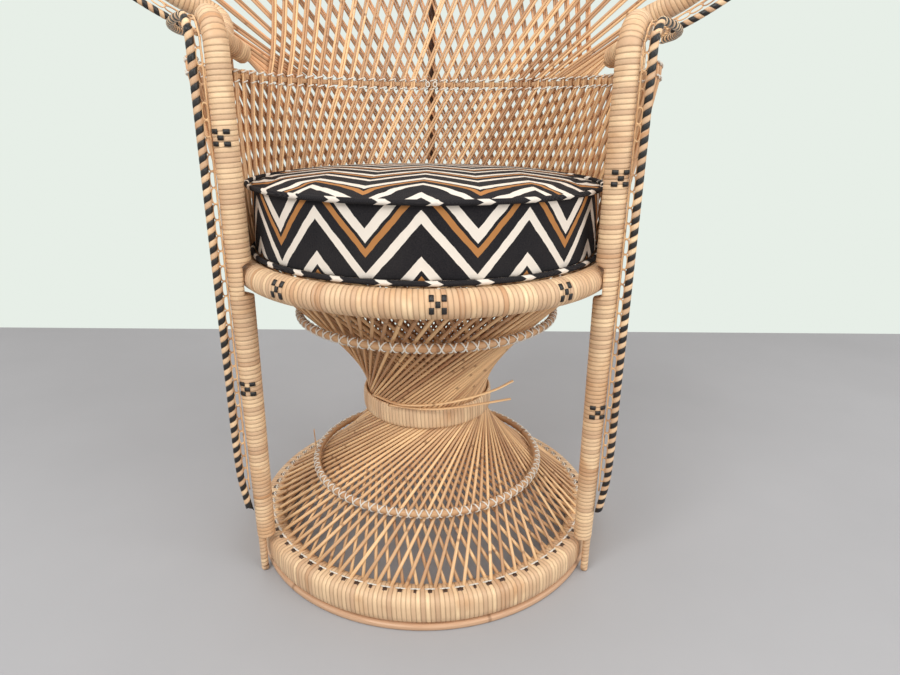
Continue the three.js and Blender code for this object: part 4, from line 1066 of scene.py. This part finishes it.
class MakeSideLaces(bpy.types.Operator):
    """Sets the striped borders beside posts and arms, with the looped lace between"""

    bl_idname = "chair.side_laces"
    bl_label = "Side borders and laces"

    def execute(self, context):
        sizes = context.scene.chair_sizes
        touch = 0.00075 + float(post_depth(0.096)) + BORDER_R
        steps = (touch, (touch + SIDE_STEP) / 2, SIDE_STEP, SIDE_STEP, SIDE_STEP)
        levels = (0.096, 0.125, 0.173, 0.3, SEAT_TOP)
        rise = [polar(POST_R + step, POST_ANGLE, z) for step, z in zip(steps, levels)]
        border = np.array(rise + side_points(SIDE_STEP))
        inner = 0.0008 + 0.0146
        middle = (inner + SIDE_STEP - BORDER_R) / 2
        rise = [polar(POST_R + middle, POST_ANGLE, z) for z in (0.145, 0.25, SEAT_TOP, 0.55)]
        lace = np.array(rise + side_points(middle))
        beside = inner + 0.0004
        rise = [polar(POST_R + beside, POST_ANGLE, z) for z in (0.13, 0.25, SEAT_TOP, 0.55)]
        edge = np.array(rise + side_points(beside))
        for side in ("right", "left"):
            turned = (lambda p: np.asarray(p)) if side == "right" else mirrored
            strip = Weave()
            route = Route(turned(border), turned(level_out(border)), steps=6)
            cut = oval(BORDER_R, BORDER_R, 10)
            wound(strip, route, cut, sizes.stripe, starts=2, finishes=(0, 1), seed=71)
            skins = [finish("black_strip"), finish("honey_strip")]
            strip.piece(f"{side}_border_winding", skins, "frame", "striped", [f"{side}_side_border"])
            weave = Weave()
            face = np.cross(level_out(lace), np.gradient(lace, axis=0))
            route = Route(turned(lace), turned(unit(face)), steps=6)
            loops(weave, route, LOOP_WIDE, sizes.loop, LOOP_THICK, 73)
            line = Route(turned(edge), turned(level_out(edge)), steps=6)
            centre, _, out, _ = line.at(np.linspace(0, line.length, 90))
            cane(weave, centre, out, 0.0012, 0.0011, 6, 0.55)
            weave.piece(f"{side}_lace_loops", [finish("cane_skin")], "frame", "cane", [f"{side}_side_lace"])
        return {"FINISHED"}


class MakeBack(bpy.types.Operator):
    """Sets the two crossing layers of paired canes, their tie band and the rib behind them"""

    bl_idname = "chair.back"
    bl_label = "Back canes"

    def execute(self, context):
        sizes = context.scene.chair_sizes
        edge = fan_edge()
        ties = Weave()
        # The rear layer is the front cane made darker: painted shade.
        for layer, lean, skin in (("front", 1, "cane_skin"), ("rear", -1, "cane_dark")):
            offset = -lean * LAYER_STEP
            weave = Weave()
            shades = noise(81 if lean > 0 else 82, 2 * sizes.back_canes)
            for i in range(sizes.back_canes):
                share = (i + 0.5) / sizes.back_canes
                line, face = back_cane(share, lean, offset, edge)
                along = unit(np.gradient(line, axis=0))
                across = unit(np.cross(along, face))
                for n, half in enumerate((-1, 1)):
                    beside = line + across * half * PAIR_STEP
                    cane(weave, beside, face, PAIR_WIDE, PAIR_DEEP, 6, shades[2 * i + n])
                band = BUCKET_HALF * (2 * shifted(share, lean * BUCKET_SHIFT / 2) - 1)
                reach = BAND_R + offset - lean * 0.0026
                for z in (BAND_BOTTOM + 0.0005, BAND_TOP - 0.0005):
                    slope = 0.0042 / BAND_R
                    spots = []
                    for t in (-1.25, -1, 0, 1, 1.25):
                        sink = 0.0022 if abs(t) > 1.1 else 0.0
                        turn = band + t * slope
                        out = reach + lean * sink
                        spots.append([out * math.sin(turn), out * math.cos(turn), z + 0.0012 * t])
                    stitch(ties, spots, (math.sin(band), math.cos(band), 0), 0.0011, shades[i], finish=1)
            nodes = [f"back_canes_{layer}_{place}" for place in ("left", "centre", "right")]
            weave.piece(f"back_canes_{layer}_strands", [finish(skin)], "frame", "cane", nodes)
        angle = np.linspace(-BUCKET_HALF, BUCKET_HALF, 120)
        face = np.stack([np.sin(angle), np.cos(angle), 0 * angle], axis=-1)
        cane(ties, face * BAND_R + UP * (BAND_TOP + BAND_BOTTOM) / 2, face, 0.0036, 0.0009, 8, 0.6)
        for x in (-0.006, 0.006):
            spot = np.array([x, BAND_R - LAYER_STEP - 0.003, (BAND_TOP + BAND_BOTTOM) / 2])
            turns = np.arange(10) * 0.6283
            ring = [spot + np.array([0.003 * math.cos(a), -0.0012, 0.004 * math.sin(a)]) for a in turns]
            cane(ties, ring, (0, 1, 0), 0.0012, 0.0012, 6, 0.5, closed=True, finish=1)
        ties.piece("back_tie_band", [finish("tie_strip"), finish("white_thread")], "frame", "cane")
        behind = LAYER_STEP + 0.0034 + 0.006 + 0.0005
        top = SPRING_Z + ARCH_B + 0.012
        middle = (BAND_BOTTOM + BAND_TOP) / 2
        spots = [np.array([0, FOOT_R + behind, SEAT_TOP]), np.array([0, BAND_R + behind, middle])]
        for share in (0.35, 0.7, 1.0):
            spots.append(fan_point(0.0, BAND_TOP + (top - BAND_TOP) * share, behind + 0.003 * share))
        rib = Weave()
        cane(rib, smooth(spots, steps=10), (0, 1, 0), 0.006, 0.0058, 12, 0.5)
        rib.piece("back_rib", [finish("rib_wood")], "frame", "cane", ["back_centre_rib"])
        return {"FINISHED"}


class MakeFan(bpy.types.Operator):
    """Winds the fan's roll and arch and fills them with spokes, lace and the striped border"""

    bl_idname = "chair.fan"
    bl_label = "Fan"

    def execute(self, context):
        sizes = context.scene.chair_sizes
        x, z = fan_oval(ROLL_A, ROLL_B, 48)
        foot = np.array([polar(ROLL_FOOT_R, math.pi / 2 - ROLL_FOOT, BAND_TOP + r) for r in (0.0005, 0.022)])
        line = np.vstack([foot, fan_point(x, z), mirrored(foot)[::-1]])
        face = np.vstack([level_out(foot), fan_facing(x, z), level_out(mirrored(foot)[::-1])])
        roll = Weave()
        wound(roll, Route(line, face, steps=5), oval(ROLL_R, ROLL_R, 14), sizes.strip, seed=91)
        roll.piece("fan_roll_winding", [finish("honey_strip")], "frame", "winding", ["fan_rim_roll"])

        x, z = arch_place(np.arange(33) / 32)
        arch = Weave()
        route = Route(fan_point(x, z), fan_facing(x, z), steps=5)
        wound(arch, route, oval(ARCH_R, ARCH_R, 12), sizes.strip, seed=92)
        arch.piece("fan_arch_winding", [finish("honey_strip")], "frame", "winding", ["fan_arch"])

        x, z = fan_oval(BORDER_A, BORDER_B, 60)
        border = Weave()
        route = Route(fan_point(x, z), fan_facing(x, z), steps=5)
        cut = oval(BORDER_R, BORDER_R, 10)
        wound(border, route, cut, sizes.stripe, starts=2, finishes=(0, 1), seed=93)
        skins = [finish("black_strip"), finish("honey_strip")]
        border.piece("fan_border_winding", skins, "frame", "striped", ["fan_border"])

        lace = Weave()
        step = (ROLL_R + BORDER_STEP - BORDER_R) / 2
        x, z = fan_oval(ROLL_A + step, ROLL_B + step, 60, WING - 0.03)
        route = Route(fan_point(x, z), fan_facing(x, z), steps=5)
        loops(lace, route, LOOP_WIDE, sizes.loop, LOOP_THICK, 94)
        x, z = fan_oval(ROLL_A + ROLL_R + 0.0008, ROLL_B + ROLL_R + 0.0008, 140, WING - 0.02)
        cane(lace, fan_point(x, z), fan_facing(x, z), 0.0011, 0.0012, 6, 0.6)
        lace.piece("fan_lace_loops", [finish("cane_skin")], "frame", "cane", ["fan_lace"])

        # The rear spokes are the front cane made darker: painted shade.
        layers = (("front", 0, -LAYER_STEP, "cane_skin"), ("rear", 1, LAYER_STEP, "cane_dark"))
        for layer, phase, offset, skin in layers:
            weave = Weave()
            shades = noise(95 + phase, 2 * sizes.spokes)
            tips = []
            for k in range(sizes.spokes):
                t = 0.16 + 0.68 * k / (sizes.spokes - 1)
                if (k + phase) % 2 == 0:
                    tips.append(arch_place(t, ARCH_R * 0.5))
                else:
                    angle = math.pi * (0.5 - t) * 1.22
                    seat = 0.6 * ROLL_R
                    tip_z = FAN_CENTRE + (ROLL_B - seat) * math.cos(angle)
                    tips.append(((ROLL_A - seat) * math.sin(angle), tip_z))
            tips = np.array(tips, float)
            for k, (a, b) in enumerate(zip(tips[:-1], tips[1:])):
                u = np.linspace(0, 1, 8)
                x = a[0] + (b[0] - a[0]) * u
                z = a[1] + (b[1] - a[1]) * u
                line, out = fan_point(x, z, offset), fan_facing(x, z)
                across = unit(np.cross(np.gradient(line, axis=0), out))
                for n, half in enumerate((-1, 1)):
                    beside = line + across * half * PAIR_STEP
                    cane(weave, beside, out, PAIR_WIDE, PAIR_DEEP, 6, shades[2 * k + n])
            nodes = [f"fan_spokes_{layer}"]
            weave.piece(f"fan_spokes_{layer}_strands", [finish(skin)], "frame", "cane", nodes)
        return {"FINISHED"}


class MakeCushion(bpy.types.Operator):
    """Sews the round cushion: a filled cover between two piped seams"""

    bl_idname = "chair.cushion"
    bl_label = "Cushion"

    def execute(self, context):
        sizes = context.scene.chair_sizes
        low = CUSHION_LOW.z + 0.0008
        seam_low = (CUSHION_LOW.z + CUSHION_HIGH.z) / 2
        seam_high = (TOP_PIPING_LOW.z + TOP_PIPING_HIGH.z) / 2
        edge = CUSHION_HIGH.x - 0.0032
        profile = [(0.0, low), (0.12, low), (0.21, low), (edge - 0.004, seam_low)]
        profile += [(edge - 0.005, (seam_low + seam_high) / 2), (edge - 0.004, seam_high)]
        for share in (0.93, 0.8, 0.62, 0.42, 0.2, 0.0):
            profile.append((edge * share, seam_high + 0.001 + sizes.crown * (1 - share**2)))
        points = []
        for radius, z in profile[1:-1]:
            points += [polar(radius, 2 * math.pi * k / COVER_SIDES, z) for k in range(COVER_SIDES)]
        faces = []
        rows = len(profile) - 2
        for i in range(rows - 1):
            for k in range(COVER_SIDES):
                n = (k + 1) % COVER_SIDES
                a, b = i * COVER_SIDES, (i + 1) * COVER_SIDES
                faces.append((a + k, a + n, b + n, b + k))
        faces.append(tuple(range(COVER_SIDES - 1, -1, -1)))
        faces.append(tuple(range((rows - 1) * COVER_SIDES, rows * COVER_SIDES)))
        mesh = bpy.data.meshes.new("cushion_cover")
        mesh.from_pydata((np.array(points) + np.array([0, AXIS_Y, 0])).tolist(), [], faces)
        cover = bpy.data.objects.new("cushion_cover", mesh)
        context.scene.collection.objects.link(cover)
        fill_cover(context, cover, sizes.swell, low, edge, seam_low, seam_high)
        cover.data.materials.append(finish("print_cotton"))
        cover.data.shade_smooth()
        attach(cover, "cushion")
        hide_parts("cushion_top_panel", "cushion_boxing", "cushion_bottom_panel", "cushion_foam")
        for name, z in (("bottom", seam_low), ("top", seam_high)):
            cord = Weave()
            points, out = hoop(edge, z, 200)
            ripple = 1 + 0.004 * np.sin(np.arange(200) * 0.9) * np.sin(np.arange(200) * 0.23)
            cane(cord, points, out, PIPING_R * ripple, PIPING_R * ripple, 12, 0.5, closed=True)
            nodes = [f"cushion_{name}_piping"]
            cord.piece(f"cushion_{name}_piping_cord", [finish("piping_cotton")], "cushion", "piping", nodes)
        return {"FINISHED"}


def fill_cover(context, cover, swell, low, edge, seam_low, seam_high):
    """Fills the cover by cloth pressure, then holds it at its seams and where it rests."""
    context.view_layer.objects.active = cover
    cover.select_set(True)
    remesh = cover.modifiers.new("even_mesh", "REMESH")
    remesh.mode = "VOXEL"
    remesh.voxel_size = COVER_VOXEL
    bpy.ops.object.modifier_apply(modifier=remesh.name)
    count = len(cover.data.vertices)
    start = np.empty(count * 3)
    cover.data.vertices.foreach_get("co", start)
    start = start.reshape(-1, 3)
    moved = start.copy()
    cloth = cover.modifiers.new("filling", "CLOTH")
    cloth.settings.use_pressure = True
    cloth.settings.uniform_pressure_force = FILL_PRESSURE
    cloth.settings.effector_weights.gravity = 0.0
    cloth.point_cache.frame_start = 1
    cloth.point_cache.frame_end = FILL_STEPS
    for step in range(1, FILL_STEPS + 1):
        context.scene.frame_set(step)
    shaped = cover.evaluated_get(context.evaluated_depsgraph_get())
    done = np.empty(count * 3)
    shaped.data.vertices.foreach_get("co", done)
    moved = done.reshape(-1, 3)
    cover.modifiers.remove(cloth)
    context.scene.frame_set(1)
    way = moved - start
    length = np.linalg.norm(way, axis=1, keepdims=True)
    first = np.hypot(start[:, 0], start[:, 1] - AXIS_Y)
    seams = [np.hypot(first - edge, start[:, 2] - seam) for seam in (seam_low, seam_high)]
    held = np.clip(np.minimum(*seams) / SEAM_HOLD, 0, 1)[:, None]
    moved = start + way * held * np.minimum(1.0, swell / np.maximum(length, 1e-9))
    flat = moved - np.array([0, AXIS_Y, 0])
    radius = np.linalg.norm(flat[:, :2], axis=1)
    share = np.clip((flat[:, 2] - seam_low) / (seam_high - seam_low), 0, 1)
    most = edge - 0.0005 - 0.0028 * np.sin(math.pi * share)
    least = np.where(first > 0.9 * edge, first, 0)
    pull = np.minimum(np.maximum(radius, least), most) / np.maximum(radius, 1e-9)
    flat[:, :2] *= pull[:, None]
    flat[:, 2] = np.maximum(flat[:, 2], low)
    cover.data.vertices.foreach_set("co", (flat + np.array([0, AXIS_Y, 0])).ravel())
    cover.data.update()
    fine = cover.modifiers.new("finer_mesh", "SUBSURF")
    fine.levels = 1
    fine.render_levels = 1
    bpy.ops.object.modifier_apply(modifier=fine.name)
    cover.select_set(False)


def soft_room(colour):
    """Even light from all round, seen directly and in gloss as a plain pale wall."""
    world = bpy.data.worlds.new("soft_room")
    world.use_nodes = True
    tree = world.node_tree
    light = tree.nodes["Background"]
    light.inputs["Color"].default_value = (1.0, 0.98, 0.96, 1.0)
    light.inputs["Strength"].default_value = ROOM_LIGHT
    wall = tree.nodes.new("ShaderNodeBackground")
    wall.inputs["Color"].default_value = (*colour, 1.0)
    rays = tree.nodes.new("ShaderNodeLightPath").outputs
    seen = rays["Is Camera Ray"]
    for ray in ("Is Glossy Ray", "Is Transmission Ray"):
        either = tree.nodes.new("ShaderNodeMath")
        either.operation = "MAXIMUM"
        tree.links.new(seen, either.inputs[0])
        tree.links.new(rays[ray], either.inputs[1])
        seen = either.outputs[0]
    both = tree.nodes.new("ShaderNodeMixShader")
    tree.links.new(seen, both.inputs[0])
    tree.links.new(light.outputs[0], both.inputs[1])
    tree.links.new(wall.outputs[0], both.inputs[2])
    tree.links.new(both.outputs[0], tree.nodes["World Output"].inputs["Surface"])
    return world


class MakeStage(bpy.types.Operator):
    """Sets the pale floor, the soft lights, the pale room and the camera"""

    bl_idname = "chair.stage"
    bl_label = "Stage"

    def execute(self, context):
        scene = context.scene
        colours = scene.chair_colours
        mesh = bpy.data.meshes.new("floor")
        wide, rear = FLOOR_WIDE, FLOOR_REAR
        corners = [(-wide, -wide, 0), (wide, -wide, 0), (wide, rear, 0), (-wide, rear, 0)]
        mesh.from_pydata(corners, [], [(0, 1, 2, 3)])
        mesh.materials.append(plain_finish("floor", tuple(colours.floor)))
        floor = bpy.data.objects.new("floor", mesh)
        scene.collection.objects.link(floor)
        for name, spot, size, power in LAMPS:
            data = bpy.data.lights.new(name, "AREA")
            data.shape = "DISK"
            data.size = size
            data.energy = power
            lamp = bpy.data.objects.new(name, data)
            lamp.location = spot
            aim = Vector((0, AXIS_Y, LAMP_AIM_Z)) - Vector(spot)
            lamp.rotation_euler = aim.to_track_quat("-Z", "Y").to_euler()
            scene.collection.objects.link(lamp)
        scene.world = soft_room(tuple(colours.wall))
        scene.view_settings.view_transform = "Standard"
        pitch, yaw, roll = (math.radians(a) for a in CAMERA_TURN)
        forward = Vector((math.sin(yaw) * math.cos(pitch), math.cos(yaw) * math.cos(pitch), -math.sin(pitch)))
        right = Vector((math.cos(yaw), -math.sin(yaw), 0))
        up = right.cross(forward)
        side = right * math.cos(roll) + up * math.sin(roll)
        top = up * math.cos(roll) - right * math.sin(roll)
        data = bpy.data.cameras.new("camera")
        data.lens = CAMERA_LENS
        data.sensor_width = 36.0
        data.sensor_fit = "HORIZONTAL"
        data.dof.use_dof = False
        camera = bpy.data.objects.new("camera", data)
        place = Matrix((side, top, -forward)).transposed().to_4x4()
        place.translation = Vector(CAMERA_PLACE) + Vector((0, AXIS_Y, 0))
        camera.matrix_world = place
        scene.collection.objects.link(camera)
        scene.camera = camera
        return {"FINISHED"}


OPERATORS = (
    MakeBaseRing, MakeBaseCanes, MakeHoops, MakeSeat, MakePosts, MakeSideLaces, MakeBack, MakeFan,
    MakeCushion, MakeStage,
)


class ChairPanel(bpy.types.Panel):
    """Lists the chair's settings and pieces"""

    bl_idname = "VIEW3D_PT_peacock_chair"
    bl_label = "Peacock chair"
    bl_space_type = "VIEW_3D"
    bl_region_type = "UI"
    bl_category = "Chair"

    def draw(self, context):
        layout = self.layout
        for settings in (context.scene.chair_sizes, context.scene.chair_colours):
            box = layout.box()
            for name in settings.__annotations__:
                box.prop(settings, name)
        for operator in OPERATORS:
            layout.operator(operator.bl_idname)


CLASSES = (ChairSizes, ChairColours, *OPERATORS, ChairPanel)


def register():
    """Registers the classes and the settings."""
    for item in CLASSES:
        bpy.utils.register_class(item)
    bpy.types.Scene.chair_sizes = bpy.props.PointerProperty(type=ChairSizes)
    bpy.types.Scene.chair_colours = bpy.props.PointerProperty(type=ChairColours)


def unregister():
    """Takes the classes and the settings out again."""
    del bpy.types.Scene.chair_colours
    del bpy.types.Scene.chair_sizes
    for item in reversed(CLASSES):
        bpy.utils.unregister_class(item)


def main():
    """Builds every piece in order."""
    register()
    bpy.ops.chair.base_ring()
    bpy.ops.chair.base_canes()
    bpy.ops.chair.hoops()
    bpy.ops.chair.seat()
    bpy.ops.chair.posts()
    bpy.ops.chair.side_laces()
    bpy.ops.chair.back()
    bpy.ops.chair.fan()
    bpy.ops.chair.cushion()
    bpy.ops.chair.stage()


if __name__ == "__main__":
    main()
